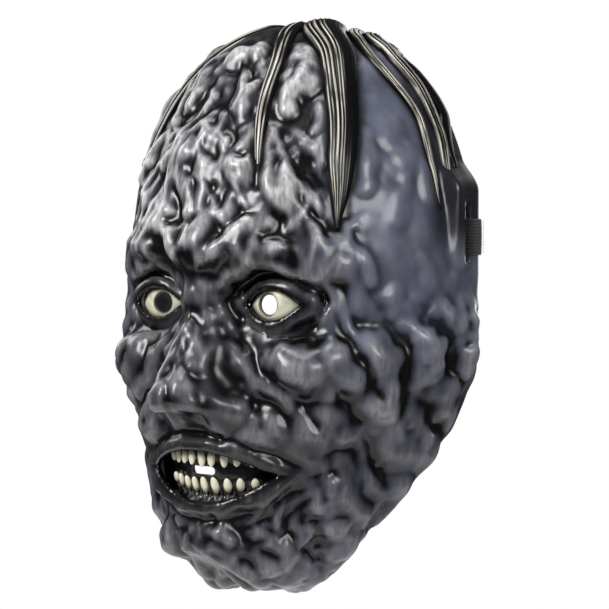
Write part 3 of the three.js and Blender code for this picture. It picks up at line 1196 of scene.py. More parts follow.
BROW_LOCK = Lock(
    "brow_lock",
    ((0.072, 0.993), (0.17, 0.965), (0.378, 0.845), (0.54, 0.634), (0.615, 0.42), (0.645, 0.24)),
    (13.0, 6.2),
    6.8,
    4.6,
    (-0.95, 0.02),
)
PARTING_LOCK = Lock(
    "parting_lock",
    ((0.0, 0.997), (0.045, 0.97), (0.17, 0.83), (0.225, 0.641), (0.29, 0.39)),
    (6.5, 2.6),
    4.4,
    1.6,
    (-1.0, 0.55),
)
TEMPLE_LOCKS = (
    Lock(
        "temple_lock_front",
        ((0.2235, 0.9747), (0.369, 0.908), (0.567, 0.785), (0.733, 0.641), (0.85, 0.462), (0.915, 0.317)),
        (4.2, 1.6),
        3.2,
        1.5,
        (-1.0, 0.7),
    ),
    Lock(
        "temple_lock_middle",
        ((0.3067, 0.9518), (0.47, 0.875), (0.65, 0.75), (0.795, 0.592), (0.885, 0.435), (0.925, 0.325)),
        (6.0, 2.4),
        4.4,
        2.4,
        (-1.0, 0.45),
    ),
    Lock(
        "temple_lock_rear",
        ((0.4077, 0.9131), (0.6, 0.797), (0.75, 0.66), (0.86, 0.5), (0.905, 0.41)),
        (6.5, 3.2),
        3.4,
        1.5,
        (-1.0, -0.99),
    ),
)
SWEPT_LOCK = Lock(
    "swept_lock",
    ((-0.06, 0.9928), (-0.185, 0.937), (-0.365, 0.775), (-0.50, 0.58), (-0.59, 0.40), (-0.65, 0.27)),
    (8.0, 2.4),
    4.6,
    2.4,
    (-0.8, 0.9),
)
FAR_LOCKS = tuple(lock.across_the_middle(f"far_{lock.name}", 0.03) for lock in TEMPLE_LOCKS)
LOCKS = (BROW_LOCK, PARTING_LOCK, SWEPT_LOCK) + TEMPLE_LOCKS + FAR_LOCKS


@dataclass
class Hair:
    """The slicked hair: moulded locks that sweep from the crown over the forehead and down the temples."""

    form: FaceForm
    along: int = 110
    around: int = 120
    curvature: float = 85.0

    def line(self, lock: Lock) -> tuple[np.ndarray, np.ndarray]:
        """A lock's line on the form, and the direction out of the face along it.

        Args:
            lock: The lock.

        Returns:
            The places and the directions, one row each.
        """
        disc = curve_through(list(lock.controls), 3000)
        turn, share = self.form.at_disc(disc[:, 0], disc[:, 1])
        places = np.hstack([self.form.surface(turn, share), self.form.outward(turn, share)])
        places = self.even(places)
        return places[:, :3], places[:, 3:] / np.linalg.norm(places[:, 3:], axis=1, keepdims=True)

    def even(self, places: np.ndarray) -> np.ndarray:
        """The same line and directions, spread evenly by distance alone.

        Args:
            places: The places and the directions, one row each.

        Returns:
            The new rows.
        """
        steps = np.linalg.norm(np.diff(places[:, :3], axis=0), axis=1)
        travelled = np.concatenate([[0], np.cumsum(steps)])
        wanted = np.linspace(0, travelled[-1], self.along + 1)
        return np.stack([np.interp(wanted, travelled, column) for column in places.T], axis=1)

    def widths(self, lock: Lock) -> np.ndarray:
        """The half width along a lock: full over the crown, drawn to a point at the tip.

        Args:
            lock: The lock.

        Returns:
            The half width at each step along it.
        """
        share = np.linspace(0, 1, self.along + 1)
        body = lock.half_width[0] + (lock.half_width[1] - lock.half_width[0]) * share**0.8
        return body * np.sqrt(np.maximum(1 - 0.98 * ramp(share, lock.point, 1.0), 0.02))

    def build(self, lock: Lock, paint: bpy.types.Material) -> bpy.types.Object:
        """Make one lock: a ridged, arched ribbon with its edges sunk into the flesh.

        Args:
            lock: The lock.
            paint: Its material.

        Returns:
            The lock.
        """
        line, out = self.line(lock)
        width = self.widths(lock)
        ahead = np.gradient(line, axis=0)
        ahead /= np.linalg.norm(ahead, axis=1, keepdims=True)
        level = np.cross(out, ahead)
        bm = unit_rod(self.around, self.along)
        angle, share = rod_places(bm)
        row = np.rint(share * self.along).astype(int)
        across = np.arcsin(np.clip(np.cos(angle), -1, 1)) / (math.pi / 2)
        top = np.sin(angle) >= -1e-6
        arch = np.sqrt(np.maximum(1 - across**2, 0))
        fade = (width[row] / width.max()) ** 0.7 * np.sqrt(ramp(share, 0, 0.1))
        level *= np.sign(level[:, 0].sum())
        uneven = 0.16 * np.sin(across * 9 + lock.rise) + 0.14 * np.sin(share * 5 + lock.rise)
        wave = 0.5 + 0.5 * np.cos(2 * math.pi * (across * lock.ridges + uneven))
        first, last = lock.grey
        # The lit share of the width, where the grey painted highlight goes.
        lit = ramp(across, first - 0.06, first + 0.1) * ramp(across, last + 0.1, last - 0.1)
        groove = -0.6 * (1 - wave) * arch * (0.2 + 0.8 * lit)
        height = np.where(top, 0.4 + fade * (lock.rise * arch**0.8 + groove), 0.4 - 1.2 * arch)
        height = height - (across * width[row]) ** 2 / (2 * self.curvature)
        place = line[row] + level[row] * (across * width[row])[:, None] + out[row] * height[:, None]
        reach = np.linalg.norm(np.diff(line, axis=0), axis=1).sum()
        write_layer(bm, "across", across * width.max() + 31 * len(lock.name))
        write_layer(bm, "along", share * reach)
        write_layer(bm, "ridge", ramp(wave, 0.62, 0.92) * top)
        write_layer(bm, "lit", lit * ramp(share, 0.04, 0.2) * ramp(share, 1.0, 0.93))
        write_points(bm, place)
        bmesh.ops.triangulate(bm, faces=[face for face in bm.faces if len(face.verts) > 4])
        bmesh.ops.recalc_face_normals(bm, faces=bm.faces)
        piece = finish_piece(lock.name, bm, [paint])
        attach(piece, "face")
        return piece


# ---------------------------------------------------------------- the moulded shell


@dataclass
class MaskShell:
    """The moulded face: one closed wall with eye, mouth and strap openings, under sculpted relief."""

    form: FaceForm
    hair: Hair
    flesh: Flesh
    cells: int = 268
    temple: tuple[float, float] = (0.74, 0.9)
    deepest: float = 1.2
    thinnest: float = 0.9
    under_hair: float = 2.0
    pad_face: float = 95.4
    pad_inner: float = 88.2
    pad_front: float = 20.0
    pad_low: float = 12.0
    pad_high: float = 55.0
    slot_middle: tuple[float, float] = (-11.6, 33.5)
    slot_size: tuple[float, float] = (5.2, 31.0)
    layers: dict[str, np.ndarray] = field(default_factory=dict)

    def spread(self, flat: np.ndarray) -> tuple[np.ndarray, np.ndarray]:
        """Wrap a flat square grid round the front of the face.

        Args:
            flat: The grid's points, from -1 to 1.

        Returns:
            Each point's turn and height share.
        """
        u, v = flat[..., 0], flat[..., 1]
        across, up = u * np.sqrt(1 - v * v / 2), v * np.sqrt(1 - u * u / 2)
        radius = np.maximum(np.hypot(across, up), 1e-9)
        tilt = (math.pi / 2) * np.minimum(radius, 1) ** 1.1
        across, up = np.sin(tilt) * across / radius, np.sin(tilt) * up / radius
        return np.arctan2(across, np.maximum(np.cos(tilt), 1e-12)), np.clip(up, -1, 1)

    def distances(self, plain: np.ndarray) -> dict[str, np.ndarray]:
        """How far each place is from the eye and mouth openings, and from the locks of hair.

        Args:
            plain: The plain form's places.

        Returns:
            The distances in millimetres, by what they are measured from.
        """
        seen = plain[..., [0, 2]].reshape(-1, 2)
        found = {}
        outlines = [self.form.eye_outline(Side.LEFT), self.form.eye_outline(Side.RIGHT)]
        eye = np.minimum(*(outline_distance(seen, line)[0] for line in outlines))
        found["eye"] = eye.reshape(plain.shape[:-1])
        found["mouth"] = outline_distance(seen, self.form.mouth_outline())[0].reshape(plain.shape[:-1])
        hair = np.full(plain.shape[:-1], 99.0)
        for lock in LOCKS:
            line, width = self.hair.line(lock)[0][::2], self.hair.widths(lock)[::2]
            for place, reach in zip(line, width):
                near = np.nonzero(np.abs(plain - place).max(axis=-1) < reach + 14)
                gap = np.linalg.norm(plain[near] - place, axis=-1) - reach
                hair[near] = np.minimum(hair[near], gap)
        found["hair"] = hair
        return found

    def relief(self, plain: np.ndarray, turn: np.ndarray, away: dict[str, np.ndarray]) -> np.ndarray:
        """The sculpted relief on top of the plain form.

        Args:
            plain: The plain form's places.
            turn: Their turns.
            away: Their distances from the openings and the hair.

        Returns:
            How far each place stands out, in millimetres.
        """
        x, z = plain[..., 0], plain[..., 2]
        strands = self.flesh.cover(plain, self.flesh.strands(False))
        lumps = self.flesh.cover(plain, self.flesh.strands(True))
        rough = np.array([noise.fractal(Vector(p) / 24, 0.9, 2.1, 2) for p in plain.reshape(-1, 3)])
        fine = np.array([noise.fractal(Vector(p) / 5.5, 0.7, 2.2, 3) for p in plain.reshape(-1, 3)])
        rough, fine = rough.reshape(x.shape), fine.reshape(x.shape)
        slick = np.maximum(ramp(np.abs(turn), 1.2, 1.32) * ramp(z, 20, 45), ramp(z, 124, 136))
        side = ramp(np.abs(turn), *self.temple) * ramp(z, -14, 8)
        veins = self.flesh.veins(plain) * (0.25 + 0.75 * ramp(z, 0, 30)) * (1 - 0.9 * side)
        self.layers["vein"] = veins * (1 - slick)
        gaps = bell(strands, 0.8) * (1 - 0.85 * side)
        # A low uneven bed fills the gaps between the strands, and the wide lumps lift them both.
        bed = 1.2 + 1.3 * np.clip(fine + rough, -0.9, 1.2)
        strands = (strands**4 + ((1 - side) * np.maximum(bed, 0)) ** 4) ** 0.25
        body = strands * (1 - 0.85 * slick) * (1 - 0.6 * np.clip(lumps / 4.5, 0, 1))
        body = body + lumps + (1.6 * veins - 1.2 * gaps) * (1 - slick)
        body = body + (4.2 - 2.9 * side) * rough * (1 - 0.5 * slick)
        body = body + (0.2 + 0.8 * gaps - 0.2 * side) * fine * (1 - slick)
        # The folds stay shallower than the wall, and the relief sinks where the skin meets another piece.
        body = np.where(body < 0, self.deepest * (np.exp(np.minimum(body, 0) / self.deepest) - 1), body)
        body *= 0.25 + 0.75 * ramp(away["eye"], 1.0, 8.0)
        body *= 0.3 + 0.7 * ramp(away["mouth"], 1.0, 8.0)
        body *= 0.25 + 0.75 * ramp(away["hair"], -1.5, 4.5)
        body = body * (0.35 + 0.65 * ramp(1.5708 - np.abs(turn), 0.0, 0.1))
        # Lids, lips and nostrils are drawn on top.
        above = ramp(z, self.form.eye_z - 2, self.form.eye_z + 3)
        lids = (1.5 + 0.9 * above) * bell(away["eye"] - 2.4, 2.0)
        lids = lids - (0.8 + above) * bell(away["eye"] - 6.6, 1.5)
        lips = 2.6 * bell(away["mouth"] - 3.2, 3.0) - 0.9 * bell(away["mouth"] - 8.5, 2.0)
        nostrils = mound(np.abs(x), z, (8.5, -55.5), (3.6, 3.4), -4.2)
        front = ramp(-plain[..., 1], 20, 60)
        return soften(body, 2) + (lids + lips + nostrils) * front

    def paint(
        self,
        plain: np.ndarray,
        turn: np.ndarray,
        relief: np.ndarray,
        away: dict[str, np.ndarray],
    ) -> None:
        """Work out where each paint goes, as numbers from 0 to 1 that the finish reads.

        Args:
            plain: The plain form's places.
            turn: The places' turns, in radians.
            relief: How far each place stands out, in millimetres.
            away: The distances from the openings and the hair.
        """
        side, z = np.abs(plain[..., 0]), plain[..., 2]
        front = ramp(-plain[..., 1], 10, 45)
        # How far each place stands out from its near surroundings, and from its wider ones.
        local = relief - soften(relief, 12)
        wide = relief - soften(relief, 60)
        slick = np.maximum(ramp(np.abs(turn), 1.18, 1.3) * ramp(z, 16, 40), ramp(z, 120, 133))
        sockets = mound(side, z, (31, -1), (24, 17), 0.85)
        eyes = np.maximum(bell(np.maximum(away["eye"], 0), 5.0), sockets)
        mouth = 0.95 * bell(np.maximum(away["mouth"], 0), 9.0)
        nose = mound(side, z, (19, -38), (8, 22), 0.8)
        nostril = mound(side, z, (8.5, -56), (5, 5), 1.0)
        hollow = mound(side, z, (50, -76), (14, 20), 0.6)
        edge = 0.9 * bell(np.maximum(away["hair"], 0), 2.4)
        # Painted shade in the sockets, round the mouth, beside the nose and nostrils, in the cheek hollows
        # and along the locks' edges; the slicked hair by the rim and crown is sprayed black.
        spots = np.maximum.reduce([eyes * front, mouth * front, nose, nostril, hollow, edge, 0.93 * slick])
        pale = ramp(np.abs(turn), 0.5, 0.85) * (0.3 + 0.7 * ramp(z, -60, 10))
        smooth_side = ramp(np.abs(turn), *self.temple) * ramp(z, -25, 5)
        self.layers["soot"] = np.clip(spots, 0, 1)
        highlight_above = ramp(z, 8, 34) * (1 - pale)
        # Painted shade: the hollows of the relief, near and wide, are painted dark.
        fold_shade = np.maximum(np.clip(-local / 0.42, 0, 1), np.clip(-wide / 2.4 - 0.1, 0, 0.9))
        self.layers["crease"] = fold_shade * (1 - 0.45 * smooth_side)
        # Painted highlight: silver on the crests and along the thin ridges, more of it higher up the face.
        brushed_highlight = np.clip(local / 1.1 + wide * 0.08, 0, 1) * (0.36 + 0.56 * highlight_above)
        drawn = 0.45 * self.layers.pop("vein") * ramp(z, 0, 30) * (1 - pale)
        self.layers["crest"] = np.clip(brushed_highlight + drawn, 0, 1)
        self.layers["slate"] = np.clip(0.12 + 0.88 * pale, 0, 1)
        self.layers["matt"] = slick

    def strap_pads(self, outer: np.ndarray, inner: np.ndarray) -> None:
        """Press the flat pads round the strap slots into both faces of the wall.

        Args:
            outer: The places on the outside, which are moved.
            inner: The places on the inside, which are moved.
        """
        for skin, level, proud in ((outer, self.pad_face, True), (inner, self.pad_inner, False)):
            x, y, z = skin[..., 0], skin[..., 1], skin[..., 2]
            soft = 6.0 if proud else 2.0
            over = 16.0 if proud else 2.0
            above_foot = ramp(z, self.pad_low - 2 * soft, self.pad_low + 1)
            up = above_foot * ramp(z, self.pad_high + over, self.pad_high - 1)
            share = up * ramp(y, -self.pad_front - soft, -self.pad_front) * (np.abs(x) > 60)
            skin[..., 0] = x + share * (np.sign(x) * level - x)

    def cut(self, bm: bmesh.types.BMesh, skin: np.ndarray, normals: np.ndarray) -> None:
        """Cut the openings out of the skin and draw their edges onto clean outlines.

        Args:
            bm: The open skin. Its vertices are still in the order of `skin`.
            skin: The vertices' places, which move with the edges.
            normals: The directions out of the face.
        """
        bm.verts.ensure_lookup_table()
        bm.faces.ensure_lookup_table()
        corners = [[v.index for v in f.verts] for f in bm.faces]
        middles = skin[np.array(corners)].mean(axis=1)
        cuts = [(self.form.eye_outline(side), (0, 2), middles[:, 1] < -60) for side in Side]
        cuts.append((self.form.mouth_outline(), (0, 2), middles[:, 1] < -60))
        slot = rounded_slot(self.slot_middle, *self.slot_size, 0.8)
        cuts += [(slot, (1, 2), middles[:, 0] * side.value > 60) for side in Side]
        doomed, edges = np.zeros(len(corners), bool), []
        for outline, axes, part in cuts:
            low, high = outline.min(0) - 3, outline.max(0) + 3
            flat = middles[:, axes]
            near = np.nonzero(part & np.all((flat > low) & (flat < high), axis=1))[0]
            inside = near[outline_distance(flat[near], outline)[0] < 0]
            doomed[inside] = True
            edges.append((outline, axes, {i for face in inside for i in corners[face]}))
        bmesh.ops.delete(bm, geom=[bm.faces[i] for i in np.nonzero(doomed)[0]], context="FACES")
        source = bm.verts.layers.int["source"]
        write_points(bm, skin[[v[source] for v in bm.verts]])
        for outline, axes, ring in edges:
            rim = [v for v in bm.verts if v[source] in ring and v.is_boundary]
            rows = np.array([v[source] for v in rim])
            target = outline_distance(skin[rows][:, axes], outline)[1]
            move = np.zeros((len(rows), 3))
            move[:, axes] = target - skin[rows][:, axes]
            other = 3 - sum(axes)
            facing = normals[rows]
            steep = np.where(np.abs(facing[:, other]) < 0.3, 1, facing[:, other])
            move[:, other] = -(move * facing).sum(1) / steep
            for vert, place in zip(rim, (skin[rows] + move).tolist()):
                vert.co = place
            kept = set(rim)
            band = {v for vert in rim for face in vert.link_faces for v in face.verts} - kept
            band |= {v for vert in band for face in vert.link_faces for v in face.verts} - kept
            for _ in range(5):
                bmesh.ops.smooth_vert(
                    bm, verts=list(band), factor=0.5, use_axis_x=True, use_axis_y=True, use_axis_z=True
                )
        for vert in bm.verts:
            skin[vert[source]] = vert.co

    def build(self, painted: bpy.types.Material, bare: bpy.types.Material) -> bpy.types.Object:
        """Make the shell: shape the skin, cut it, and give it its wall.

        Args:
            painted: The outside's material.
            bare: The inside's material.

        Returns:
            The shell.
        """
        bm = bmesh.new()
        bmesh.ops.create_grid(bm, x_segments=self.cells, y_segments=self.cells, size=1)
        flat = read_points(bm)
        order = np.lexsort((flat[:, 0].round(6), flat[:, 1].round(6)))
        count = int(math.sqrt(len(flat)))
        square = flat[order].reshape(count, count, 3)
        turn, share = self.spread(square)
        plain, out = self.form.surface(turn, share), self.form.outward(turn, share)
        rim = np.abs(np.abs(turn) - math.pi / 2) < 1e-4
        out[rim, 1] = 0
        out /= np.linalg.norm(out, axis=-1, keepdims=True)
        away = self.distances(plain)
        relief = self.relief(plain, turn, away)
        self.paint(plain, turn, relief, away)
        # The lining follows only the broad relief, and stays under the skin and the locks' undersides.
        lining = np.maximum(np.minimum(soften(relief, 10), relief) - self.form.wall, -self.form.wall - 0.3)
        lining = np.minimum(lining, relief - self.thinnest)
        lining = np.minimum(lining, np.maximum(away["hair"], 0) - self.under_hair)
        outer, inner = plain + out * relief[..., None], plain + out * lining[..., None]
        self.strap_pads(outer, inner)
        back = np.empty(len(flat), int)
        back[order] = np.arange(len(flat))
        skin = outer.reshape(-1, 3)[back]
        depth = (inner - outer).reshape(-1, 3)[back]
        source = bm.verts.layers.int.new("source")
        for index, vert in enumerate(bm.verts):
            vert[source] = index
        for name, values in self.layers.items():
            write_layer(bm, name, values.reshape(-1)[back])
        self.cut(bm, skin, out.reshape(-1, 3)[back])
        weights = bm.verts.layers.deform.verify()
        made = bmesh.ops.extrude_face_region(bm, geom=bm.faces[:], use_keep_orig=True)["geom"]
        inside = {item for item in made if isinstance(item, bmesh.types.BMVert)}
        for vert in bm.verts:
            row = vert[source]
            vert.co = skin[row] + depth[row] if vert in inside else skin[row]
        for item in made:
            if isinstance(item, bmesh.types.BMFace):
                item.material_index = 1
        for vert in inside:
            if all(face.material_index == 1 for face in vert.link_faces):
                vert[weights][0] = 1.0
        loose = [vert for vert in bm.verts if not vert.link_faces]
        bmesh.ops.delete(bm, geom=loose, context="VERTS")
        bmesh.ops.recalc_face_normals(bm, faces=bm.faces)
        piece = finish_piece("moulded_shell", bm, [painted, bare])
        piece.vertex_groups.new(name="lining")
        thin = piece.modifiers.new("thin the lining", "DECIMATE")
        thin.vertex_group = "lining"
        thin.ratio = 0.6
        bake_modifiers(piece)
        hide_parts("face_shell")
        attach(piece, "face")
        return piece


# ---------------------------------------------------------------- eyes


@dataclass
class Eye:
    """A thin cream dome behind the lids, with a round pinhole to see through."""

    form: FaceForm
    side: Side
    hole_x: float = 32.0
    hole_radius: float = 5.5
    radius: float = 21.2
    thickness: float = 1.6
    reach: float = 19.4
    around: int = 96
    rings: int = 22

    def build(self, paint: bpy.types.Material) -> bpy.types.Object:
        """Make the dome as rings round its pinhole, then give it its wall.

        Args:
            paint: Its material.

        Returns:
            The dome.
        """
        bm = bmesh.new()
        bmesh.ops.create_circle(bm, cap_ends=False, segments=self.around, radius=1)
        edges = bm.edges[:]
        for ring in range(self.rings):
            geometry = bmesh.ops.extrude_edge_only(bm, edges=edges)["geom"]
            edges = [item for item in geometry if isinstance(item, bmesh.types.BMEdge)]
            verts = [item for item in geometry if isinstance(item, bmesh.types.BMVert)]
            bmesh.ops.translate(bm, vec=(0, 0, 1), verts=verts)
        points = read_points(bm)
        share = (points[:, 2] / self.rings) ** 1.3
        bearing = np.arctan2(points[:, 1], points[:, 0])
        hole, middle = np.array([self.hole_x, self.form.eye_z]), np.array([self.form.eye_x, self.form.eye_z])
        hole_edge = hole + self.hole_radius * np.stack([np.cos(bearing), np.sin(bearing)], axis=1)
        outer_edge = middle + self.reach * np.stack([np.cos(bearing), np.sin(bearing)], axis=1)
        seen = hole_edge + (outer_edge - hole_edge) * share[:, None]
        off = np.linalg.norm(seen - middle, axis=1)
        dome = self.form.eye_depth + np.sqrt(np.maximum(self.radius**2 - off**2, 0))
        lip = 0.35 * bell(np.linalg.norm(seen - hole, axis=1) - self.hole_radius - 0.2, 0.5)
        place = np.stack([self.side.value * seen[:, 0], -dome + lip, seen[:, 1]], axis=1)
        mirrored = np.stack([self.side.value * seen[:, 0], seen[:, 1]], axis=1)
        lids = outline_distance(mirrored, self.form.eye_outline(self.side))[0]
        # Dark at the pinhole's edge, and painted shade under the lids.
        edge = bell(np.linalg.norm(seen - hole, axis=1) - self.hole_radius, 0.45)
        lid_shade = np.clip(0.16 + ramp(lids, -3.2, 0.6) * 0.84, 0, 1) * ramp(lids, -7.5, 0.0)
        grime = np.maximum(0.85 * edge, lid_shade)
        write_points(bm, place)
        write_layer(bm, "grime", np.clip(grime, 0, 1))
        bmesh.ops.recalc_face_normals(bm, faces=bm.faces)
        if bm.faces[0].normal.y > 0:
            bmesh.ops.reverse_faces(bm, faces=bm.faces)
        bmesh.ops.solidify(bm, geom=bm.faces[:], thickness=self.thickness)
        piece = finish_piece(f"{self.side.word}_eye_dome", bm, [paint])
        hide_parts(f"{self.side.word}_eye_insert")
        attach(piece, "face")
        return piece


# ---------------------------------------------------------------- mouth


@dataclass
class Mouth:
    """The recessed gums with their breathing slot, and two rows of pegged teeth."""

    form: FaceForm
    width: float = 94.0
    height: float = 40.0
    gap: float = 0.4
    pocket: float = 5.2
    floor: float = 1.8
    rim: float = 4.5
    slot_size: tuple[float, float] = (17.0, 5.4)
    teeth: int = 9
    seed: int = 7
    pitch: float = 7.4
    tallest: float = 10.5
    shortest: float = 6.5
    tooth_width: float = 4.1
    tooth_depth: float = 3.2
    bite_gap: float = 3.6

    def tooth_place(self, index: int, upper: bool) -> tuple[float, float, float]:
        """A tooth's middle across and up, and its height.

        Args:
            index: Its place in its row.
            upper: Whether it is in the upper row.

        Returns:
            The middle across and up, and the height.
        """
        offset = index - (self.teeth - 1) / 2
        share = abs(offset) / ((self.teeth - 1) / 2)
        height = self.tallest + (self.shortest - self.tallest) * share**1.5
        x = offset * self.pitch * (1 - 0.06 * share)
        rise = self.bite_gap + self.tallest / 2 - 2.2 * share**2
        return x, self.form.mouth_z + (rise if upper else -rise), height

    def sockets(self, x: np.ndarray, z: np.ndarray) -> np.ndarray:
        """How much of a gum ridge stands at each place: a horseshoe round the root of each tooth.

        Args:
            x: The places' distances across, in millimetres.
            z: The places' heights, in millimetres.

        Returns:
            The ridge's share at each place.
        """
        ridge = np.zeros_like(x)
        for upper in (True, False):
            away = 1 if upper else -1
            for index in range(self.teeth):
                tooth_x, tooth_z, height = self.tooth_place(index, upper)
                root_z = tooth_z + away * height * 0.28
                ring = np.hypot((x - tooth_x) / 0.75, np.maximum((z - root_z) * away, 0)) - 3.4
                beyond = ramp((z - tooth_z) * away, -3.5, 0.5)
                ridge = np.maximum(ridge, bell(ring, 0.9) * beyond)
        return ridge

    def build_gums(self, paint: bpy.types.Material) -> bpy.types.Object:
        """Make the gums: one curved sheet that dips behind the lips, with the slot cut through.

        Args:
            paint: Its material.

        Returns:
            The gums.
        """
        bm = bmesh.new()
        bmesh.ops.create_grid(bm, x_segments=190, y_segments=84, size=0.5)
        flat = read_points(bm)
        x, z = flat[:, 0] * self.width, self.form.mouth_z + flat[:, 1] * self.height
        to_edge = np.minimum(self.width / 2 - np.abs(x), self.height / 2 - np.abs(z - self.form.mouth_z))
        dip = ramp(to_edge, self.rim - 1.5, self.rim + 3.0)
        slot = rounded_slot((0.0, self.form.mouth_z), *self.slot_size, self.slot_size[1] / 2 - 0.01)
        seen = np.stack([x, z], axis=1)
        to_slot, nearest = outline_distance(seen, slot)
        snap = np.abs(to_slot) < 0.27
        x, z = np.where(snap, nearest[:, 0], x), np.where(snap, nearest[:, 1], z)
        ridge = self.sockets(x, z) * dip
        bead = bell(np.maximum(to_slot, 0) - 1.0, 1.0)
        inset = self.form.wall + self.gap + dip * (self.pocket - 1.3 * ridge - 0.5 * bead)
        write_points(bm, self.form.under(x, z, inset))
        write_layer(bm, "ridge", np.clip(ridge * 0.9 + 0.25 * bead, 0, 1))
        inner = [f for f, keep in zip(bm.faces, self.kept(bm, to_slot)) if not keep]
        bmesh.ops.delete(bm, geom=inner, context="FACES")
        bm.faces.ensure_lookup_table()
        if bm.faces[0].normal.y > 0:
            bmesh.ops.reverse_faces(bm, faces=bm.faces)
        bmesh.ops.solidify(bm, geom=bm.faces[:], thickness=self.floor)
        piece = finish_piece("gums", bm, [paint])
        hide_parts("gum_tray")
        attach(piece, "face")
        return piece

    def kept(self, bm: bmesh.types.BMesh, to_slot: np.ndarray) -> list[bool]:
        """Which faces stay when the breathing slot is cut: those with most of their corners outside it."""
        return [sum(to_slot[v.index] for v in face.verts) > 0 for face in bm.faces]

    def build_tooth(
        self,
        index: int,
        upper: bool,
        paint: bpy.types.Material,
        luck: np.random.Generator,
    ) -> bpy.types.Object:
        """Make one peg: narrow at the root, blunt at the biting end, seated on the gums.

        Args:
            index: Its place in its row, from the wearer's right.
            upper: Whether it is in the upper row.
            paint: Its material.
            luck: Where its small differences come from.

        Returns:
            The tooth.
        """
        x, z, height = self.tooth_place(index, upper)
        x += luck.normal(0, 0.25)
        height *= luck.normal(1.0, 0.06)
        lean = luck.normal(0, 0.07)
        bm = bmesh.new()
        bmesh.ops.create_uvsphere(bm, u_segments=24, v_segments=18, radius=1)
        points = read_points(bm)
        away = 1 if upper else -1
        along = points[:, 2] * away
        broad = 1 - 0.10 * along - 0.10 * along**2
        flat_end = np.where(along < 0, along, along * 0.8)
        across = points[:, 0] * broad * self.tooth_width / 2
        deep = points[:, 1] * broad * self.tooth_depth / 2 + 0.35 * (1 - along**2)
        up = flat_end * away * height / 2
        across, up = across + lean * up, up - lean * across
        seat = self.form.wall + self.gap + self.pocket - self.tooth_depth * 0.42
        spot = np.array([x]), np.array([z])
        middle, ahead = self.form.under(*spot, seat)[0], self.form.under(*spot, seat + 1)[0]
        inward = Vector(ahead - middle).normalized()
        turn = Vector((0, 1, 0)).rotation_difference(inward).to_matrix()
        place = np.stack([across, deep, up], axis=1) @ np.array(turn).T + middle
        write_points(bm, place)
        write_layer(bm, "root", np.clip(ramp(along, -0.1, 0.9) * 0.9 + 0.08, 0, 1))
        row = "upper" if upper else "lower"
        piece = finish_piece(f"{row}_peg_{index + 1}", bm, [paint])
        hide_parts(f"{row}_tooth_{index + 1}")
        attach(piece, "face")
        return piece

    def build(self, gum_paint: bpy.types.Material, tooth_paint: bpy.types.Material) -> None:
        """Make the gums and every tooth.

        Args:
            gum_paint: The gums' material.
            tooth_paint: The teeth's material.
        """
        self.build_gums(gum_paint)
        luck = np.random.default_rng(self.seed)
        for index in range(self.teeth):
            self.build_tooth(index, True, tooth_paint, luck)
            self.build_tooth(index, False, tooth_paint, luck)


# ---------------------------------------------------------------- comfort pads


@dataclass
class ComfortPad:
    """A slab of foam glued inside the shell, crowned towards the wearer and rounded at its edges."""

    form: FaceForm
    node: str
    middle: tuple[float, float]
    size: tuple[float, float]
    clearance: float = 3.4
    thickness: float = 7.6

    def build(self, foam: bpy.types.Material) -> bpy.types.Object:
        """Make the pad from a finely divided block.

        Args:
            foam: The foam's material.

        Returns:
            The pad.
        """
        bm = bmesh.new()
        bmesh.ops.create_cube(bm, size=2)
        bmesh.ops.subdivide_edges(bm, edges=bm.edges[:], cuts=23, use_grid_fill=True)
        points = read_points(bm)
        u, v, w = points.T
        corner = (np.abs(u) ** 6 + np.abs(v) ** 6) ** (1 / 6)
        square = np.maximum(np.maximum(np.abs(u), np.abs(v)), 1e-9) / np.maximum(corner, 1e-9)
        u, v = u * square, v * square
        edge = np.maximum(np.abs(u), np.abs(v))
        crown = 1 - 0.30 * edge**2 - 0.28 * np.maximum(edge - 0.8, 0) / 0.2
        pull = 1 - 0.035 * (1 - np.abs(w))
        x = self.middle[0] + u * self.size[0] / 2 * pull
        z = self.middle[1] + v * self.size[1] / 2 * pull
        inset = self.clearance + (w + 1) / 2 * self.thickness * crown
        write_points(bm, self.form.under(x, z, inset))
        bmesh.ops.recalc_face_normals(bm, faces=bm.faces)
        piece = finish_piece(f"{self.node}_foam", bm, [foam])
        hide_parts(self.node)
        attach(piece, "face")
        return piece


# ---------------------------------------------------------------- head strap


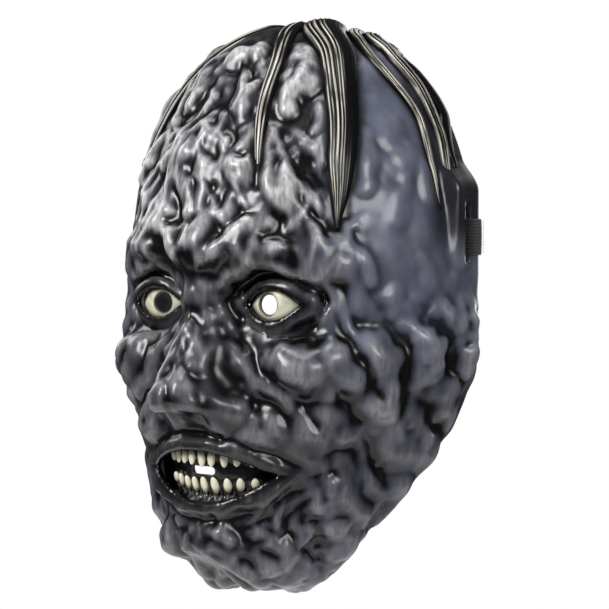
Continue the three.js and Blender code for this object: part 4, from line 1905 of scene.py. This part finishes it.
@dataclass
class HeadStrap:
    """Ribbed elastic: a sewn loop through each slot, an arm behind it, and the band round the head."""

    width: float = 18.5
    thickness: float = 1.5
    height: float = 31.0
    pivot_y: float = 9.5
    droop: float = math.radians(25)
    half_span: float = 85.6
    bow: float = 37.0
    flat_half: float = 40.0
    arm_end: float = math.radians(24)
    ribs: int = 12
    rib_rise: float = 0.34
    tack_rows: tuple[float, float] = (10.4, 12.9)
    stitches: int = 15
    thread_radius: float = 0.22

    def profile(self, angle: np.ndarray) -> tuple[np.ndarray, np.ndarray, np.ndarray]:
        """The band's cross-section.

        Args:
            angle: The angle round the section.

        Returns:
            The place across the width and through the thickness, in millimetres, and how much of a rib it is.
        """
        spread = np.arcsin(np.clip(np.cos(angle), -1, 1)) / (math.pi / 2)
        rib = 0.5 + 0.5 * np.cos(2 * math.pi * self.ribs * (spread + 1) / 2 + math.pi)
        edge = np.abs(np.sin(angle)) ** 0.25
        through = np.sign(np.sin(angle)) * edge * (self.thickness / 2 - self.rib_rise * (1 - rib))
        return spread * self.width / 2, through, rib

    def sweep(
        self,
        plan: np.ndarray,
        drooping: np.ndarray,
        name: str,
        elastic: bpy.types.Material,
    ) -> bpy.types.Object:
        """Draw the band along a line.

        Args:
            plan: The line as seen from above, in the strap's own plane, one (x, y) row each.
            drooping: How much of the droop each row has, from 0 to 1.
            name: The piece's name.
            elastic: Its material.

        Returns:
            The band, riding on nothing yet.
        """
        along = len(plan) - 1
        bm = unit_rod(10 * self.ribs, along)
        angle, share = rod_places(bm)
        row = np.rint(share * along).astype(int)
        ahead = np.gradient(plan, axis=0)
        ahead /= np.linalg.norm(ahead, axis=1, keepdims=True)
        out = np.stack([ahead[:, 1], -ahead[:, 0]], axis=1)
        across, through, rib = self.profile(angle)
        flat = plan[row] + out[row] * through[:, None]
        droop = self.droop * drooping[row]
        reach = flat[:, 1] - self.pivot_y
        y = self.pivot_y + reach * np.cos(droop) + across * np.sin(droop)
        z = self.height - reach * np.sin(droop) + across * np.cos(droop)
        travelled = np.concatenate([[0], np.cumsum(np.linalg.norm(np.diff(plan, axis=0), axis=1))])
        write_layer(bm, "along", travelled[row])
        write_layer(bm, "rib", rib)
        write_points(bm, np.stack([flat[:, 0], y, z], axis=1))
        bmesh.ops.triangulate(bm, faces=[face for face in bm.faces if len(face.verts) > 4])
        bmesh.ops.recalc_face_normals(bm, faces=bm.faces)
        return finish_piece(name, bm, [elastic])

    def corner(self, angle: np.ndarray) -> np.ndarray:
        """The wearer's left corner of the free strap, from the pivot at 0 to the straight back.

        Args:
            angle: The angle round the corner, from 0 at the pivot.

        Returns:
            The line's points, one (x, y) row each.
        """
        reach = self.half_span - self.flat_half - self.thickness / 2
        depth = self.bow - self.thickness / 2
        x = self.flat_half + reach * np.cos(angle)
        return np.stack([x, self.pivot_y + depth * np.sin(angle)], axis=1)

    def build_loop(self, side: Side, elastic: bpy.types.Material) -> bpy.types.Object:
        """Make the loop that goes through the slot, round the bar and back onto itself.

        Args:
            side: The wearer's left or right.
            elastic: The elastic's material.

        Returns:
            The loop.
        """
        inner, outer, front, tail = 87.05, 96.6, -10.2, 15.0
        round_bar = [(inner, tail), (inner, front + 1.6), (inner + 1.6, front), (outer - 1.6, front)]
        outside = [(outer, front + 1.6), (outer, 0.2), (outer - 1.2, 2.0)]
        back_in = [(outer - 6.0, 5.4), (inner + 1.7, 7.0), (inner + 1.6, tail)]
        line = np.array(round_bar + outside + back_in)
        for _ in range(3):
            cut = np.repeat(line, 2, axis=0)[1:-1]
            cut[0::2] = line[:-1] * 0.75 + line[1:] * 0.25
            cut[1::2] = line[:-1] * 0.25 + line[1:] * 0.75
            line = np.vstack([line[:1], cut, line[-1:]])
        line = spread_evenly(line, 90) * np.array([side.value, 1])
        piece = self.sweep(line, np.zeros(len(line)), f"{side.word}_sewn_loop", elastic)
        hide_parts(f"{side.word}_strap_loop")
        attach(piece, "face")
        return piece

    def build_arm(self, side: Side, elastic: bpy.types.Material) -> bpy.types.Object:
        """Make the arm: it lies flat against the loop's tail, then droops towards the back of the head.

        Args:
            side: The wearer's left or right.
            elastic: The elastic's material.

        Returns:
            The arm.
        """
        beside = np.full(12, self.half_span - self.thickness / 2)
        start = np.stack([beside, np.linspace(1.0, self.pivot_y, 12)], axis=1)
        bend = self.corner(np.linspace(0, self.arm_end, 28))
        line = spread_evenly(np.vstack([start[:-1], bend]), 60)
        line[:, 0] += 0.6 * ramp(line[:, 1], self.pivot_y + 6, self.pivot_y - 4)
        droop = ramp(line[:, 1], 1.0, self.pivot_y + 5.0)
        piece = self.sweep(line * np.array([side.value, 1]), droop, f"{side.word}_arm_band", elastic)
        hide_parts(f"{side.word}_strap_arm")
        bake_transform(piece)
        return piece

    def build_back(self, elastic: bpy.types.Material) -> bpy.types.Object:
        """Make the band that goes round the back of the head, from arm to arm.

        Args:
            elastic: The elastic's material.

        Returns:
            The band.
        """
        bend = self.corner(np.linspace(self.arm_end, math.pi / 2, 70))
        line = np.vstack([bend, (bend * np.array([-1, 1]))[::-1]])
        line = spread_evenly(line, 240)
        piece = self.sweep(line, np.ones(len(line)), "back_band", elastic)
        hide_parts("strap_back")
        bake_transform(piece)
        return piece

    def build_tack(self, side: Side, thread: bpy.types.Material) -> bpy.types.Object:
        """Make the bar tacks: short threads side by side that hold the loop's tail down.

        Args:
            side: The wearer's left or right.
            thread: The thread's material.

        Returns:
            The stitches.
        """
        whole = bmesh.new()
        face = self.half_span + 0.7 + 3 * self.thickness + 0.35
        for row in self.tack_rows:
            for stitch in range(self.stitches):
                bm = unit_rod(6, 5)
                points = read_points(bm)
                along = points[:, 2]
                lift = 0.32 * np.sin(math.pi * along) + 0.1
                x = side.value * (face + points[:, 0] * self.thread_radius + lift)
                y = row + (along - 0.5) * 1.9 + points[:, 1] * self.thread_radius
                z = self.height + (stitch - self.stitches // 2) * 1.12 + (along - 0.5) * 0.5
                write_points(bm, np.stack([x, y, z], axis=1))
                mesh = bpy.data.meshes.new("stitch")
                bm.to_mesh(mesh)
                bm.free()
                whole.from_mesh(mesh)
                bpy.data.meshes.remove(mesh)
        bmesh.ops.recalc_face_normals(whole, faces=whole.faces)
        piece = finish_piece(f"{side.word}_bar_tack", whole, [thread])
        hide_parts(f"{side.word}_stitching")
        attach(piece, "face")
        return piece

    def build(self, elastic: bpy.types.Material, thread: bpy.types.Material) -> None:
        """Make the whole strap.

        Args:
            elastic: The elastic's material.
            thread: The thread's material.
        """
        for side in Side:
            self.build_loop(side, elastic)
            self.build_arm(side, elastic)
            self.build_tack(side, thread)
        self.build_back(elastic)


# ---------------------------------------------------------------- studio


@dataclass
class Studio:
    """A pale floor, soft lights and the camera, in metres."""

    azimuth: float = math.radians(33)
    elevation: float = math.radians(2)
    distance: float = 0.88
    lens: float = 100.0
    target: tuple[float, float, float] = (0.013, -0.0365, -0.004)
    floor_z: float = -0.31
    floor_radius: float = 0.43

    def floor(self) -> None:
        """Lay the floor."""
        bm = bmesh.new()
        bmesh.ops.create_circle(bm, cap_ends=True, segments=96, radius=self.floor_radius / MM)
        bmesh.ops.translate(bm, vec=(0, 0, self.floor_z / MM), verts=bm.verts)
        piece = finish_piece("studio_floor", bm, [StudioPaper().dress()])

    def light(self, name: str, place: tuple[float, float, float], size: float, watts: float) -> None:
        """Hang one soft square light that faces the mask.

        Args:
            name: The light's name.
            place: Where it hangs.
            size: Its side.
            watts: Its power.
        """
        lamp = bpy.data.lights.new(name, "AREA")
        lamp.size = size
        lamp.energy = watts
        holder = bpy.data.objects.new(name, lamp)
        holder.location = place
        aim = Vector(self.target) - Vector(place)
        holder.rotation_euler = aim.to_track_quat("-Z", "Y").to_euler()
        bpy.context.scene.collection.objects.link(holder)

    def surround(self) -> None:
        """Set the even light that comes from all round, and the white that the camera sees behind."""
        world = bpy.data.worlds.new("studio_air")
        world.use_nodes = True
        tree = world.node_tree
        white = tree.nodes["Background"]
        white.inputs["Color"].default_value = linear("#ffffff")
        white.inputs["Strength"].default_value = 1.0
        dim = tree.nodes.new("ShaderNodeBackground")
        dim.inputs["Color"].default_value = linear("#f2f4f7")
        dim.inputs["Strength"].default_value = 0.07
        path = tree.nodes.new("ShaderNodeLightPath")
        mix = tree.nodes.new("ShaderNodeMixShader")
        tree.links.new(path.outputs["Is Camera Ray"], mix.inputs[0])
        tree.links.new(dim.outputs[0], mix.inputs[1])
        tree.links.new(white.outputs[0], mix.inputs[2])
        tree.links.new(mix.outputs[0], tree.nodes["World Output"].inputs["Surface"])
        bpy.context.scene.world = world
        bpy.context.scene.view_settings.view_transform = "Standard"

    def camera(self) -> None:
        """Set up the camera, in front and to the wearer's left."""
        lens = bpy.data.cameras.new("camera")
        lens.lens = self.lens
        holder = bpy.data.objects.new("camera", lens)
        level = math.cos(self.elevation) * self.distance
        offset = Vector(
            (
                math.sin(self.azimuth) * level,
                -math.cos(self.azimuth) * level,
                math.sin(self.elevation) * self.distance,
            )
        )
        holder.location = Vector(self.target) + offset
        holder.rotation_euler = (-offset).to_track_quat("-Z", "Y").to_euler()
        bpy.context.scene.collection.objects.link(holder)
        bpy.context.scene.camera = holder

    def build(self) -> None:
        """Set up the studio."""
        self.camera()
        self.floor()
        self.surround()
        self.light("key", (-0.25, -1.2, 0.7), 0.5, 22.0)
        self.light("fill", (1.25, -0.3, 0.45), 0.5, 9.0)
        self.light("top", (0.1, -0.2, 1.25), 0.55, 8.0)
        self.light("back", (-0.15, 1.3, 0.3), 0.8, 6.0)
        self.light("far_side", (-1.1, 0.1, 0.5), 0.6, 4.0)


# ---------------------------------------------------------------- the whole mask


def plain_form() -> FaceForm:
    """The face's form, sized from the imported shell."""
    low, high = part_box("face_shell")
    return FaceForm(crown_height=high.z / MM, chin_height=-low.z / MM)


def main() -> None:
    """Build the mask and its studio."""
    logging.basicConfig(level=logging.INFO, format="%(name)s: %(message)s")
    form = plain_form()
    hair = Hair(form)
    Studio().build()
    MaskShell(form, hair, Flesh(form)).build(PaintedVinyl().dress(), BareVinyl().dress())
    hair_paint = HairPaint().dress()
    for lock in LOCKS:
        hair.build(lock, hair_paint)
    eye_paint = EyePaint().dress()
    for side in Side:
        Eye(form, side).build(eye_paint)
    Mouth(form).build(GumPaint().dress(), ToothPaint().dress())
    foam = OpenFoam().dress()
    ComfortPad(form, "brow_pad", (0.0, 66.0), (84.0, 24.0)).build(foam)
    for side in Side:
        ComfortPad(form, f"{side.word}_cheek_pad", (side.value * 62.0, -36.0), (26.0, 38.0)).build(foam)
    HeadStrap().build(KnittedElastic().dress(), PolyesterThread().dress())


if __name__ == "__main__":
    main()
